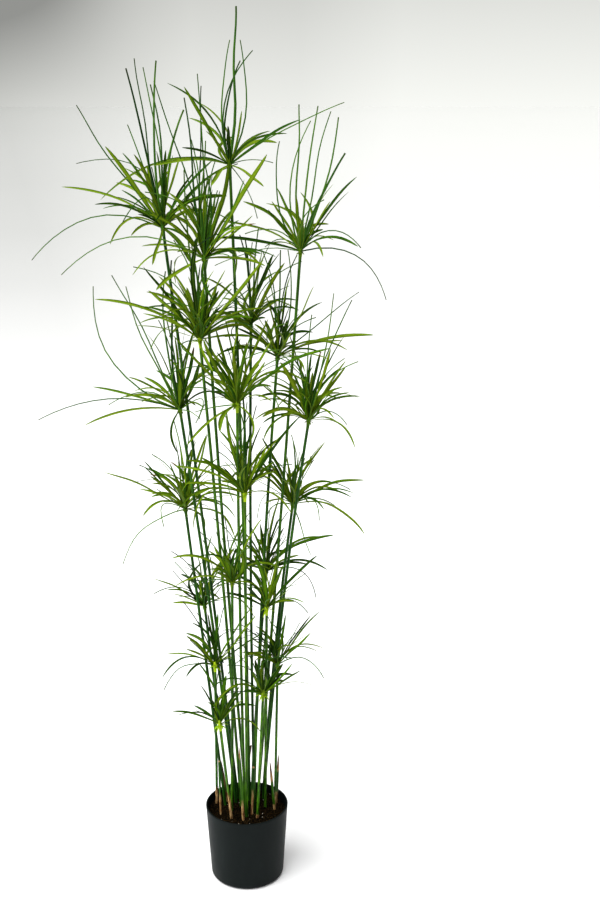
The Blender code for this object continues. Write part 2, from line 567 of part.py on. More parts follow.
def extrude_leaf(shape, face, curve, leaf):
    """Grow a leaf from a face of the boss: a three-sided blade that ends in a point."""
    steps = leaf_steps(curve, leaf)
    centre = face.calc_center_median()
    first_direction = (on_curve(curve, 0.15) - curve[0]).normalized()
    side = first_direction.cross(Vector((0.0, 0.0, 1.0)))
    if side.length < 0.3:
        side = first_direction.cross(Vector((0.0, 1.0, 0.0)))
    side.normalize()
    ring = list(face.verts)
    up = side.cross(first_direction).normalized()
    angles = [math.atan2((vert.co - centre).dot(up), (vert.co - centre).dot(side)) for vert in ring]
    shape.faces.remove(face)
    first = leaf_start(curve)
    for step in range(steps):
        along = first + (1 - first) * step / steps
        here = on_curve(curve, along)
        direction = (on_curve(curve, min(1.0, along + 0.05)) - here).normalized()
        side = (side - direction * side.dot(direction)).normalized()
        up = side.cross(direction).normalized()
        half = leaf_half_width(leaf, along)
        grown = []
        for angle in angles:
            offset = side * math.cos(angle) * half + up * math.sin(angle) * LEAF_THICKNESS / 2
            grown.append(shape.verts.new(here + offset))
        for index in range(TRIANGLE_SIDES):
            after = (index + 1) % TRIANGLE_SIDES
            shape.faces.new((ring[index], ring[after], grown[after], grown[index]))
        ring = grown
    tip = shape.verts.new(curve[2])
    for index in range(TRIANGLE_SIDES):
        shape.faces.new((ring[index], ring[(index + 1) % TRIANGLE_SIDES], tip))


def grown_head(head, leaves, spin):
    """The shape of a head, its boss turned by an angle before its leaves grow from it."""
    centre = Vector(head["head"]) * CM
    stem_direction = growing_direction(head)
    shape = hub_shape(centre, stem_direction, spin)
    roots = [on_curve(curve, leaf_start(curve)) for curve, _ in leaves]
    faces = faces_for_leaves(shape, centre, stem_direction, roots)
    for face, (curve, leaf) in zip(faces, leaves):
        extrude_leaf(shape, face, curve, leaf)
    bmesh.ops.recalc_face_normals(shape, faces=shape.faces)
    return shape


def crossings(shape):
    """How many pairs of faces of a shape run through each other."""
    shape.faces.ensure_lookup_table()
    corners = [set(face.verts) for face in shape.faces]
    tree = BVHTree.FromBMesh(shape)
    return sum(1 for one, other in tree.overlap(tree) if one < other and not corners[one] & corners[other])


def build_leaf_head(number, head, thicket):
    """One head as one solid: its boss is turned until no leaf runs through its neighbour."""
    leaves = grow_leaves(number, head, thicket)
    best, best_crossings = None, 0
    for turn in range(HUB_TURNS):
        shape = grown_head(head, leaves, turn * HUB_TURN)
        found = crossings(shape)
        if best is None or found < best_crossings:
            if best is not None:
                best.free()
            best, best_crossings = shape, found
        else:
            shape.free()
        if best_crossings == 0:
            break
    return add_object(f"leaf_head_{number:02d}", best, "leaf_green", smooth=False)


def build_stem(number, outline):
    """One planted stem."""
    points, radii = outline
    return add_object(f"stem_{number:02d}", tube(points, radii, STEM_SIDES), "stem_green")


def build_stalks():
    """The cut and dried stalks, and their outlines for the planting holes."""
    outlines = []
    for name, stalk in STALKS.items():
        points, radii = stalk_outline(stalk)
        add_object(name, tube(points, radii, STALK_SIDES), "dried_tan")
        outlines.append((points, radii, STALK_SIDES))
    return outlines


def main():
    """Build every piece of the plant."""
    clear_scene()
    build_pot()
    thicket = Thicket()
    stems = [stem_outline(head) for head in HEADS]
    for number, (points, radii) in enumerate(stems, start=1):
        build_stem(number, (points, radii))
        thicket.add(points, radii, f"stem_{number:02d}")
    stalks = build_stalks()
    for number, (points, radii, _) in enumerate(stalks, start=1):
        thicket.add(points, radii, f"stalk_{number}")
    build_soil([(points, radii, STEM_SIDES) for points, radii in stems] + stalks)
    for number, head in enumerate(HEADS, start=1):
        build_leaf_head(number, head, thicket)


main()
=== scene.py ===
"""Looks of the potted papyrus plant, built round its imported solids.

Every leaf, thread, scale, stem and stalk is a strand: a path with a width at each of its points.
Geometry Nodes sweep a folded or a round outline along the strands, and strew the soil's crumbs.
Units are metres and +Z is up. The plans of the leaf heads are in centimetres, widths in millimetres.
"""

import logging
import math
from dataclasses import dataclass, field
from enum import IntEnum
from typing import Iterator, Sequence

import bmesh
import bpy
import numpy as np
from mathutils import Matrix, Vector, noise


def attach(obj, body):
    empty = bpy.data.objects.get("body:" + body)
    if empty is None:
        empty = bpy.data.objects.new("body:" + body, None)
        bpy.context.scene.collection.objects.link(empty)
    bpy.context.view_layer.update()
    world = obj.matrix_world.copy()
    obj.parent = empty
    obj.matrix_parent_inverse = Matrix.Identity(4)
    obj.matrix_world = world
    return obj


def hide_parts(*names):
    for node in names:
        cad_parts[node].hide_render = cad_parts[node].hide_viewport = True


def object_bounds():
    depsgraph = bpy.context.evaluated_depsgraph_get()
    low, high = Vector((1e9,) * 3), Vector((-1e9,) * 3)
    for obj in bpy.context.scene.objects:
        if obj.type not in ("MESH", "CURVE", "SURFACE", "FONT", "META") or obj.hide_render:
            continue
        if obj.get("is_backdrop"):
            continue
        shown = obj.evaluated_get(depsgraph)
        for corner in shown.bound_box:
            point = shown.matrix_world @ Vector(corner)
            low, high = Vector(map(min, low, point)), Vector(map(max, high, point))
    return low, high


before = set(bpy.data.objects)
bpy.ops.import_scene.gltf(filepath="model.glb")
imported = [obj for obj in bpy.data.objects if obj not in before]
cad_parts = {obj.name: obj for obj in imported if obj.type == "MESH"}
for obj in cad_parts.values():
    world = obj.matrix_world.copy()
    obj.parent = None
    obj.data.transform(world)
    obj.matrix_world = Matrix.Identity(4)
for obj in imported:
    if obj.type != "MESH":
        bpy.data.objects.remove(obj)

log = logging.getLogger("papyrus")

CM = 0.01
MM = 0.001
BODY = "root"
UP = np.array((0.0, 0.0, 1.0))
FRONT = np.array((0.0, -1.0, 0.0))

# Where the photograph was taken from, and how it looks down
VIEWER = np.array((0.116, -2.50, 1.67))
VIEW_PITCH = math.radians(15.7)
LENS_MM = 51.5
SENSOR_MM = 36.0

# From where to where the painted shade greys behind the plant change, sideways as a share of the distance
GREYS_FROM = -0.23
GREYS_TO = 0.075

# Sizes that the looks share with the solids
SOIL_TOP = 0.153
PLANTED_TO = 0.120
POT_HEIGHT = 0.167
POT_RIM_RADIUS = 0.089
POT_FOOT_RADIUS = 0.0785
POT_WALL = 0.0035
TOP_HEAD_HEIGHT = 1.528
LOW_HEAD_SIZE = 0.60

Rows = Sequence[tuple[float, float, float, float, float]]
Colour = tuple[float, float, float]
Stops = Sequence[tuple[float, Colour]]
Socket = bpy.types.NodeSocket


class StrandKind(IntEnum):
    """The outline that is swept along a strand."""

    BLADE = 0
    THREAD = 1
    ROUND = 2


@dataclass(frozen=True)
class HeadPlan:
    """Where a stem grows, where its head is, and the leaves that the photograph shows on it.

    A leaf is the place of its tip as seen from the viewer and measured from the head: across to
    the right, rise up, toward the viewer; then arch, how far its middle stands above the straight
    line to the tip (all cm); and its width in mm.
    """

    soil: tuple[float, float]
    place: tuple[float, float, float]
    bow: float
    stem_tone: float
    collar_tone: float
    leaves: Rows


PLANS = (
    HeadPlan((0.4, 3.6), (-1.9, 3.0, 152.8), 0.5, 0.45, 0.70, (
        (1.2, 30.5, 2, -0.4, 7), (0.0, 24.0, -4, 1.5, 4), (2.0, 20.0, -6, 1.8, 5), (4.4, 22.0, 4, 3.3, 3),
        (2.0, 24.0, -10, -2.0, 2), (2.3, 10.4, 3, -0.3, 4), (-0.4, 7.5, 5, 0.0, 8), (-8.8, 15.0, 6, 0.0, 7),
        (-12.0, 15.7, -3, 2.7, 4), (-4.6, 6.5, 6, 0.5, 5), (-9.2, 3.3, 4, 0.7, 5), (-14.6, -0.2, 8, 1.0, 8),
        (-12.0, 1.0, -4, 0.8, 6), (-24.8, -6.7, -5, 4.0, 4), (11.0, 6.0, 3, 2.0, 5), (7.7, 6.5, -5, 1.3, 4),
        (13.6, 8.7, 10, 0.6, 7), (22.0, 12.0, -2, 0.9, 3), (8.3, 0.4, -8, 0.8, 2), (6.5, -4.2, 8, 0.4, 7),
        (-3.5, -4.0, 9, 0.5, 8), (-10.0, -9.0, -4, 1.0, 6), (5.3, -10.3, -6, 0.8, 2))),
    HeadPlan((-2.2, 4.4), (-14.8, 0.0, 141.1), 0.3, 0.35, 0.60, (
        (-11.1, 15.7, 4, 0.3, 8), (-5.6, 14.2, 11, 0.7, 8), (-7.1, 30.7, 3, 0.3, 6),
        (-5.5, 32.6, -5, -0.4, 3.5), (-3.8, 30.9, -9, 1.0, 2.5), (-1.3, 32.2, -2, -1.0, 6),
        (-2.4, 27.6, 2, 1.0, 5), (4.0, 22.7, 5, 1.4, 7), (9.7, 13.1, 7, 0.9, 7), (6.1, 10.9, -3, 0.5, 4),
        (-6.1, -1.5, 3, 1.5, 5), (-2.0, -7.1, 6, 0.0, 6), (-13.1, 4.5, 5, 1.6, 7), (-19.4, 7.9, -3, 1.9, 5),
        (-25.2, -6.2, 2, 5.2, 3), (-7.9, 7.3, -6, 0.6, 4), (-9.0, 6.0, -8, 1.0, 4),
        (-16.6, 12.4, -8, 6.5, 2.5), (-16.6, 23.6, -12, -0.5, 2), (5.2, -6.5, 4, 0.8, 9),
        (6.7, -4.2, 7, 1.0, 8), (0.6, 15.0, 5, 0.0, 8), (-3.0, 12.0, -4, 0.0, 8))),
    HeadPlan((0.0, 0.3), (-6.5, -6.0, 135.9), -0.4, 0.50, 0.60, (
        (11.9, 19.8, 9, 0.0, 9), (4.8, 19.3, 7, -0.5, 9), (-3.8, 30.5, 4, 0.0, 5), (-1.3, 35.0, -4, 0.5, 4),
        (-0.6, 32.7, -8, -0.6, 3), (-9.5, 33.6, -6, 0.8, 3.5), (7.6, 15.0, 12, -0.5, 7),
        (2.1, 12.3, -3, 0.0, 5), (1.5, 15.9, -8, 0.0, 3), (9.1, 8.2, 3, 0.0, 3.5), (6.2, 0.2, 5, 1.8, 5),
        (11.5, -1.3, 2, 1.0, 6), (-9.1, -5.9, 6, 0.8, 8), (1.7, -7.8, 5, -1.0, 6),
        (-27.0, -3.0, -5, 5.7, 3), (-6.0, 8.9, 8, 0.0, 7), (-4.0, 5.0, 3, 0.0, 6), (0.0, 13.0, -2, 0.0, 8),
        (3.0, 11.0, 2, 0.0, 6))),
    HeadPlan((2.2, 3.0), (11.7, 2.0, 136.4), 0.2, 0.58, 0.75, (
        (-0.3, 28.6, 2, -0.4, 5), (3.4, 28.3, -3, 0.4, 5), (7.4, 26.1, 4, -1.1, 5), (8.7, 19.1, 7, 0.8, 7),
        (11.0, 14.5, -3, 0.9, 6), (9.4, 11.6, 5, 0.3, 4), (5.8, 9.7, 8, 0.0, 6), (-0.9, 10.7, 6, 0.0, 7),
        (-4.1, 21.4, -5, -2.5, 3), (-5.6, 9.7, -8, 0.3, 5), (-6.3, 8.1, 3, 0.0, 4), (-6.7, 9.3, -6, 3.0, 4),
        (-11.2, 9.7, 4, 1.5, 8), (-16.5, 2.5, 8, 0.9, 8), (-15.7, 5.8, -4, 1.5, 4), (-6.9, 0.8, -8, 2.0, 3),
        (-16.7, -2.8, -10, 1.5, 2), (4.4, -1.1, 6, 2.3, 5), (11.2, 0.9, 3, 2.3, 6),
        (16.7, -9.5, -2, 4.7, 3), (5.9, 27.2, -14, 0.5, 2), (2.0, 25.4, -16, 3.0, 1.5))),
    HeadPlan((-1.3, 1.2), (-7.5, -8.0, 120.8), 0.3, 0.55, 0.95, (
        (-10.8, 13.9, 6, 0.0, 8), (-9.8, 9.4, -2, 0.5, 7), (-20.0, 7.7, 3, 1.9, 6),
        (-10.8, 5.0, -6, 0.8, 4), (12.1, 15.2, 8, 0.0, 7), (-0.4, 19.7, 9, -1.0, 9), (-3.4, 7.1, 9, 0.0, 6),
        (-3.0, 32.4, -5, -0.5, 5), (0.8, 9.6, 8, 0.0, 6), (1.6, 9.6, 3, 0.0, 6), (-2.5, 10.0, -3, 0.0, 8),
        (2.5, -6.1, 7, -0.3, 6), (9.6, 0.6, -4, 0.5, 5), (3.3, 10.5, -6, 0.0, 5))),
    HeadPlan((1.4, 5.6), (1.5, 12.0, 120.1), -0.4, 0.25, 0.30, (
        (-2.3, 18.5, -2, 0.7, 5), (6.0, 14.8, 2, 1.2, 4), (2.3, 15.5, -6, 0.0, 3), (-4.0, 4.5, -3, 1.5, 4),
        (2.6, 4.0, 3, 0.5, 4), (-4.7, 2.7, 4, 0.6, 7), (-2.3, 0.8, 6, 0.3, 5), (3.0, 1.4, 4, 0.5, 5),
        (-6.0, 5.5, -3, 1.5, 5), (-7.5, 2.7, 4, 0.6, 7), (5.6, 5.0, 3, 0.5, 6), (10.0, 3.0, -4, 2.0, 5),
        (-12.0, -3.0, -6, 3.0, 4))),
    HeadPlan((1.5, -1.0), (7.1, 3.0, 115.2), -0.6, 0.45, 0.65, (
        (7.3, 14.2, 6, -0.2, 7), (0.6, 21.4, -3, 0.0, 5), (-2.9, 21.0, -7, 1.0, 3),
        (2.1, 21.4, -8, -1.6, 3), (3.9, 20.4, 3, 1.4, 4), (-9.5, 8.2, 6, 0.6, 9), (-10.7, 4.0, -4, 1.9, 5),
        (19.3, 4.4, 3, 1.4, 7), (8.9, 0.8, -5, 1.3, 4), (10.5, -0.6, 6, 1.2, 3.5), (16.3, 13.0, -4, 0.3, 3),
        (5.4, -3.0, 7, 1.8, 4), (5.5, -4.6, -3, 0.5, 2), (2.7, 4.8, 9, 0.0, 7), (2.0, 7.5, 4, 0.0, 7),
        (-2.5, 7.4, -5, 0.0, 8), (4.0, 2.0, 9, 0.5, 6))),
    HeadPlan((-2.5, 2.7), (-12.3, -1.0, 105.3), 0.4, 0.35, 0.70, (
        (-0.4, -8.7, 3, 1.6, 5), (-19.0, -3.1, 3, 1.6, 5), (-17.4, 4.6, -3, 0.5, 5),
        (-28.2, -2.0, -5, 3.2, 3), (-14.2, 1.0, -8, 3.0, 3), (-10.3, 6.5, 6, 0.9, 8),
        (-11.2, 2.6, -6, 1.4, 4), (-10.8, 24.6, 2, -1.0, 4), (-13.6, 26.8, -6, 0.5, 3.5),
        (-17.3, 24.6, -9, -5.5, 2), (-2.9, 27.6, -2, -1.5, 5), (-1.7, 29.8, 4, -0.9, 6),
        (4.0, 9.6, 7, -0.5, 9), (2.8, 12.6, -2, 0.0, 7), (4.8, 0.4, 4, 1.2, 3.5), (4.0, -1.8, 5, 0.5, 2.5),
        (0.0, 8.0, 4, 0.0, 8))),
    HeadPlan((-0.4, -1.6), (-0.5, -9.0, 108.3), -0.2, 0.60, 0.95, (
        (-12.4, 13.4, 3, 0.0, 7), (-6.5, 12.4, 8, -0.4, 8), (-7.5, 5.2, -4, 0.3, 6),
        (-4.1, 14.5, -6, 0.0, 6), (-0.8, 9.9, 9, 0.0, 10), (0.0, 7.2, 12, 0.0, 5), (1.9, 12.1, -3, 0.3, 6),
        (6.8, 12.6, 7, 0.2, 6), (18.0, 10.9, 5, 1.8, 6), (5.4, 8.3, 11, 0.0, 5), (-9.7, -7.9, 3, 0.9, 5),
        (-3.3, -5.1, 9, 1.1, 9), (-8.1, -1.4, -6, 0.3, 3), (2.7, -6.8, 4, 1.6, 4.5),
        (0.6, -9.7, -8, 1.0, 3))),
    HeadPlan((3.5, 4.3), (13.3, -3.0, 103.5), -0.8, 0.30, 0.75, (
        (-9.2, 0.8, 6, 2.0, 8), (-9.1, -0.4, -3, 1.7, 5), (-10.8, 0.2, -5, 2.4, 3.5),
        (-9.8, 7.7, -4, 0.0, 4), (-5.6, 11.7, 7, 0.5, 9), (-0.7, 9.5, 3, 0.0, 6), (0.8, 9.7, -3, 0.0, 8),
        (4.4, 14.4, 6, -0.2, 7), (7.5, 11.0, -2, 0.2, 6), (5.0, 25.3, -5, -0.5, 3.5),
        (8.6, 24.0, 4, 1.0, 3.5), (9.2, -5.3, 3, 2.6, 4.5), (5.9, -0.4, 6, 1.0, 3.5), (5.7, 6.7, 8, 0.3, 4),
        (4.3, 3.8, 10, 0.5, 6))),
    HeadPlan((-4.8, 1.6), (-12.1, 3.0, 83.2), 0.0, 0.35, 0.70, (
        (-8.6, 10.0, 5, 0.0, 6), (-8.5, 8.7, -6, 0.3, 3.5), (-7.3, 6.8, 8, 0.4, 6), (-16.8, 7.6, 3, 0.6, 6),
        (-9.5, 4.1, -3, 0.8, 7), (-8.8, -1.5, 6, 2.4, 6), (-12.9, -11.4, 2, 2.6, 3),
        (-5.9, 4.1, -8, 0.0, 3), (-3.2, 9.5, -5, 0.0, 4), (-1.5, 9.9, 3, 0.0, 3.5), (-1.3, 4.6, 10, 0.0, 8),
        (4.7, 15.6, 4, 0.0, 7), (4.5, 15.6, -6, 0.6, 5), (5.5, 4.4, 6, 0.8, 7), (10.3, -6.1, 3, 2.8, 4.5),
        (4.0, -4.1, -8, 1.5, 5))),
    HeadPlan((0.1, -3.2), (0.8, -9.0, 90.3), 0.0, 0.65, 0.95, (
        (-13.8, 5.5, -3, 1.3, 5), (-8.5, 7.1, 4, 0.3, 9), (-4.4, 5.3, 9, 0.2, 5), (-11.8, 2.0, 5, 1.0, 5.5),
        (-3.6, 16.2, 7, -0.5, 6.5), (-0.4, 19.3, 3, 0.3, 7), (-0.6, 7.1, 10, 0.0, 7),
        (1.2, 11.4, 9, 0.0, 6), (11.0, 15.4, 3, 0.7, 6), (4.3, 9.5, 9, 0.0, 6), (5.0, 9.0, -3, 0.0, 5),
        (5.5, 3.2, 6, 1.0, 4), (5.0, 4.7, -6, 0.5, 3.5), (1.8, 0.8, 4, 0.0, 4), (-2.0, 9.0, -5, 0.0, 8))),
    HeadPlan((3.4, 6.2), (10.1, 5.0, 83.6), -0.6, 0.30, 0.65, (
        (-6.5, 13.9, 5, 0.5, 7), (-7.8, 10.7, -3, 0.0, 6), (-6.4, 6.2, 6, 0.4, 5),
        (-7.0, 4.7, -7, 0.4, 2.5), (-7.4, -2.9, -4, 4.0, 2), (-1.2, 10.0, -4, 0.0, 3.5),
        (1.4, 10.9, -8, 0.0, 2.5), (3.8, 10.1, -9, 0.0, 2), (2.5, 9.6, 5, 0.0, 3), (2.0, 4.9, 10, 0.0, 5),
        (0.4, 6.8, 9, 0.0, 8), (5.9, 4.9, 5, 0.7, 7), (15.0, 5.0, -2, 1.4, 8), (12.7, 2.3, 6, 1.9, 4),
        (9.0, -0.5, -5, 1.5, 3.5), (6.5, -1.2, 6, 2.0, 4.5), (15.0, -6.4, 3, 2.9, 6),
        (3.7, -10.5, 5, 0.0, 3))),
    HeadPlan((-3.3, -0.6), (-2.1, -7.0, 70.8), 0.1, 0.50, 0.80, (
        (-12.2, 5.0, 4, 2.6, 6), (-3.7, 7.5, -4, 0.0, 5), (1.6, 7.1, 8, -1.4, 8),
        (-11.4, -0.6, 3, 1.7, 4.5), (-8.4, -0.6, -6, 0.9, 3), (-3.1, 2.0, 10, 0.3, 8),
        (-4.9, 4.3, 7, 0.8, 8), (-1.3, 7.3, -3, -0.8, 4), (-2.1, 9.1, -7, 0.5, 3), (1.2, 6.3, -2, 0.0, 8),
        (6.0, -2.0, -5, 0.6, 3), (2.0, -1.5, 7, 0.4, 4), (-1.3, 5.5, 3, 0.0, 8))),
    HeadPlan((0.9, 2.2), (4.4, 9.0, 67.2), -0.3, 0.35, 0.50, (
        (14.5, 7.7, 5, 1.9, 7), (12.6, 7.3, -3, 2.3, 6), (7.0, 3.4, 7, 0.5, 7), (13.1, 0.2, 3, 2.3, 6),
        (8.7, 1.5, -5, 0.9, 5), (-1.4, 10.3, -3, 0.0, 4.5), (2.3, 11.0, -7, 0.3, 2.5),
        (3.8, 8.2, 3, 0.0, 2.5), (4.2, 7.5, -6, 0.0, 2.5), (-3.1, 8.8, 4, 0.6, 4.5),
        (-3.5, 6.0, -5, 0.0, 6), (-2.7, 3.4, 8, 0.3, 5))),
    HeadPlan((-4.2, 4.6), (-8.8, 6.0, 60.4), 0.0, 0.30, 0.65, (
        (-10.8, 5.8, 3, 0.6, 4.5), (-7.0, 2.6, -3, 0.3, 5), (-6.8, 7.5, -6, 0.0, 3),
        (-0.4, 9.4, 5, -3.0, 7), (3.7, 4.5, 6, -0.3, 8), (4.1, 1.3, -4, 0.4, 3), (-4.6, 3.0, 8, 0.0, 4),
        (-1.0, 5.5, -3, 0.0, 8), (1.7, 5.5, -6, 0.0, 6))),
    HeadPlan((4.0, 0.9), (4.8, -6.0, 64.9), 0.0, 0.55, 0.95, (
        (-2.8, 11.0, 6, 0.9, 9), (-4.0, 4.4, 8, 0.0, 8), (-3.4, 8.1, -5, 0.4, 4), (10.4, 10.8, 4, 0.5, 6.5),
        (7.9, 7.1, -7, 0.3, 2), (2.1, 9.7, 7, 0.0, 6), (3.3, 8.7, -3, 0.0, 6), (5.3, 4.5, 8, 0.0, 4))),
    HeadPlan((-6.7, 2.3), (-6.0, -5.0, 51.8), 0.0, 0.40, 0.95, (
        (-11.0, -2.7, 3, 3.0, 4.5), (-6.0, -2.5, 6, 1.4, 5), (-10.0, 2.3, -4, 0.9, 3.5),
        (-6.0, 3.3, 4, 0.4, 4.5), (-6.0, 6.0, 5, 0.4, 7), (-5.2, 5.2, -6, 0.0, 3), (8.5, 10.4, 4, -0.3, 6),
        (9.8, 6.4, 8, 0.3, 6), (5.0, 6.2, -6, 0.0, 2.5), (2.7, 5.0, -3, 0.0, 4), (0.6, 10.8, 6, 0.0, 6),
        (-0.6, 7.3, -4, 0.0, 2.5))),
    HeadPlan((6.1, 1.2), (6.9, -2.0, 50.5), 0.0, 0.45, 0.70, (
        (8.9, 11.2, 4, 0.4, 7), (7.0, 6.7, 7, 0.0, 5), (1.7, 10.5, -3, 0.0, 5), (0.3, 5.6, 8, 0.9, 6),
        (3.8, 6.7, -6, 0.5, 3), (4.8, 9.0, -10, 0.0, 2), (-5.7, 5.6, 5, 0.6, 5), (-5.3, 4.3, -4, 0.3, 4),
        (-7.4, 2.6, 6, 0.5, 6), (-11.5, 7.2, -6, 3.0, 2.5), (-1.4, 5.6, -5, 0.0, 8))),
    HeadPlan((2.4, -3.6), (4.0, -8.0, 46.7), 0.0, 0.62, 1.00, (
        (7.7, 4.8, 3, 0.1, 4), (6.0, 6.3, 6, -0.3, 4), (4.1, 6.3, -3, 0.0, 7), (-4.0, 0.6, 7, 0.3, 7),
        (-6.4, 1.7, 4, 0.9, 4), (-9.5, -0.6, -5, 0.9, 2.5), (-2.2, 4.4, 6, 0.0, 6), (-1.7, 7.1, -3, 0.0, 7),
        (-0.3, 7.0, -6, 0.0, 6), (3.7, 4.0, 8, 0.0, 4))),
    HeadPlan((-3.2, -3.8), (-5.1, -7.0, 39.3), 0.0, 0.60, 1.00, (
        (-10.0, 2.7, 3, 0.7, 4.5), (-5.4, 3.9, -3, 0.3, 6), (-5.2, 2.9, 6, 0.3, 5), (-1.5, 5.0, -6, 0.0, 4),
        (1.3, 10.3, 4, 0.0, 8), (4.1, 7.8, -2, 0.2, 7), (4.8, 5.0, 7, 0.3, 8), (2.3, 0.8, 9, 0.0, 5))),
)

# Leaves of every head that point at the viewer and away, as the solids have them
DEPTH_LEAVES = ((3.0, 6.5, 19.0, 1.5, 6.5), (-4.0, 9.0, -15.0, 2.0, 6.5),
                (5.0, 5.5, -16.0, 2.5, 6.0), (-1.0, 12.0, -20.0, 2.5, 5.0))
# How full each head looks in the photograph beside the others, from the first to the last
FULLNESS = (0.05, 0.66, 1.05, 0.28, 1.55, 0.68, 0.80, 0.85, 1.12, 1.34, 1.45, 1.20, 0.90, 0.90, 0.90, 0.90,
            0.60, 0.70, 0.80, 0.75, 0.50)
# How much lighter each head is painted than the topmost ones: painted light that makes up for the shade its
# own full leaves cast
PAINTED_LIGHTNESS = (-0.01, 0.0, 0.07, 0.03, 0.10, 0.03, 0.02, 0.03, 0.15, 0.13, 0.20, 0.13, 0.19, 0.04, 0.0, 0.0,
             0.06, 0.0, 0.0, 0.0, 0.0)
TURN_FROM_HEAD_TO_HEAD = math.radians(47)
DEPTH_LEAF_TURN = 0.35

HEAD_SEED = 1900
SHEATH_SEED = 500


def unit(vector: np.ndarray) -> np.ndarray:
    """The vector at length one."""
    return vector / max(float(np.linalg.norm(vector)), 1e-9)


def on_curve(root: np.ndarray, middle: np.ndarray, tip: np.ndarray, along: np.ndarray) -> np.ndarray:
    """Points on the bent line that passes through its middle point half way along.

    Args:
        root: Where the line starts.
        middle: The point half way along it.
        tip: Where it ends.
        along: Shares of its length, from 0 to 1.

    Returns:
        One row of three coordinates for each share.
    """
    pull = middle * 2 - (root + tip) * 0.5
    t = along[:, None]
    return root * (1 - t) ** 2 + pull * 2 * t * (1 - t) + tip * t ** 2


def as_seen(centre: np.ndarray, flat: np.ndarray, depth: float) -> np.ndarray:
    """The point that the viewer sees at an offset from a head's centre.

    Args:
        centre: The head's centre.
        flat: Offset across and up in the picture, in metres.
        depth: How far the point stands toward the viewer.

    Returns:
        The point in space.
    """
    sight = VIEWER - centre
    reach = float(np.linalg.norm(sight))
    offset = np.array((flat[0], flat[1] * math.sin(VIEW_PITCH), flat[1] * math.cos(VIEW_PITCH)))
    return centre + offset * (1 - depth / reach) + sight / reach * depth


def outward_at(turn: float) -> np.ndarray:
    """The level direction at an angle round the vertical."""
    return np.array((math.cos(turn), math.sin(turn), 0.0))


def turns_round(rng: np.random.Generator, count: int, uneven: float) -> Iterator[float]:
    """Uneven steps round a stem.

    Args:
        rng: Where each step's own shift is drawn from, when the step is asked for.
        count: How many steps.
        uneven: How far one may shift, as a share of a step.

    Returns:
        The angle of each step in turn, in radians.
    """
    for index in range(count):
        yield 2 * math.pi * (index + rng.uniform(-uneven, uneven)) / count


def level_circle(radius: float, sides: int) -> list[tuple[float, float]]:
    """The corners of a level circle round the pot's axis."""
    return [(radius * math.cos(turn), radius * math.sin(turn))
            for turn in (2 * math.pi * side / sides for side in range(sides))]


@dataclass
class Strand:
    """A leaf, thread, scale, stem or stalk: the path and widths that its outline is swept along."""

    kind: StrandKind
    points: np.ndarray
    half_widths: np.ndarray
    facing: np.ndarray
    tone: float
    dry: np.ndarray

    @classmethod
    def rounded(cls, points: np.ndarray, radii: np.ndarray, tone: float, dry: np.ndarray) -> "Strand":
        """A round strand.

        Args:
            points: Its path.
            radii: Its radius at each point.
            tone: How light it is, from 0 to 1.
            dry: How dry it is at each point.

        Returns:
            The strand, which faces the front.
        """
        return cls(StrandKind.ROUND, points, radii, np.tile(FRONT, (len(points), 1)), tone, dry)

    def tangents(self) -> np.ndarray:
        """Direction of the path at each of its points."""
        steps = np.gradient(self.points, axis=0)
        return steps / np.maximum(np.linalg.norm(steps, axis=1, keepdims=True), 1e-9)

    def faces_up(self) -> np.ndarray:
        """Where the strand's upper side faces at each point, square to the path."""
        along = self.tangents()
        square = self.facing - along * np.sum(self.facing * along, axis=1, keepdims=True)
        return square / np.maximum(np.linalg.norm(square, axis=1, keepdims=True), 1e-9)


class NodeBoard:
    """A node tree that nodes are added to and linked in, one call each."""

    def __init__(self, tree: bpy.types.NodeTree) -> None:
        """Keep the tree.

        Args:
            tree: The tree to add to.
        """
        self.tree = tree

    def put(self, entry: Socket, value: object) -> None:
        """Fill an input.

        Args:
            entry: The input's socket.
            value: A socket to link from, or a plain value, or None to leave it as it is.
        """
        if isinstance(value, Socket):
            self.tree.links.new(value, entry)
        elif value is not None:
            entry.default_value = value

    def add(self, kind: str, inputs: dict[str | int, object] | None = None,
            **settings: object) -> bpy.types.Node:
        """Add a node, set it up and feed its inputs.

        Args:
            kind: The node's type name.
            inputs: A socket to link from, or a plain value, by the input's name or number.
            settings: Properties of the node itself.

        Returns:
            The new node.
        """
        node = self.tree.nodes.new(kind)
        for name, value in settings.items():
            setattr(node, name, value)
        for name, value in (inputs or {}).items():
            self.put(node.inputs[name], value)
        return node

    def math(self, operation: str, first: object, second: object = None) -> Socket:
        """A number worked out from one or two others.

        Args:
            operation: Name of the operation.
            first: A socket or a number.
            second: A socket or a number, if it takes two.

        Returns:
            The result's socket.
        """
        return self.add("ShaderNodeMath", {0: first, 1: second}, operation=operation).outputs[0]

    def span(self, value: Socket, low: float, high: float, to_low: float = 0.0, to_high: float = 1.0,
             how: str = "LINEAR") -> Socket:
        """Stretch a number from one range to another, held at both ends.

        Args:
            value: The number.
            low: Start of its own range.
            high: End of its own range.
            to_low: What the start becomes.
            to_high: What the end becomes.
            how: The kind of step between them.

        Returns:
            The stretched number's socket.
        """
        node = self.add("ShaderNodeMapRange", {"Value": value, "From Min": low, "From Max": high,
                                               "To Min": to_low, "To Max": to_high}, interpolation_type=how)
        return node.outputs["Result"]

    def ramp(self, factor: Socket, stops: Stops) -> Socket:
        """Colours along a factor.

        Args:
            factor: The number that picks the colour.
            stops: Place and linear colour of each stop.

        Returns:
            The colour's socket.
        """
        node = self.add("ShaderNodeValToRGB", {"Fac": factor})
        marks = node.color_ramp.elements
        while len(marks) < len(stops):
            marks.new(0.5)
        for mark, (place, colour) in zip(marks, stops):
            mark.position = place
            mark.color = (*colour, 1.0)
        return node.outputs["Color"]


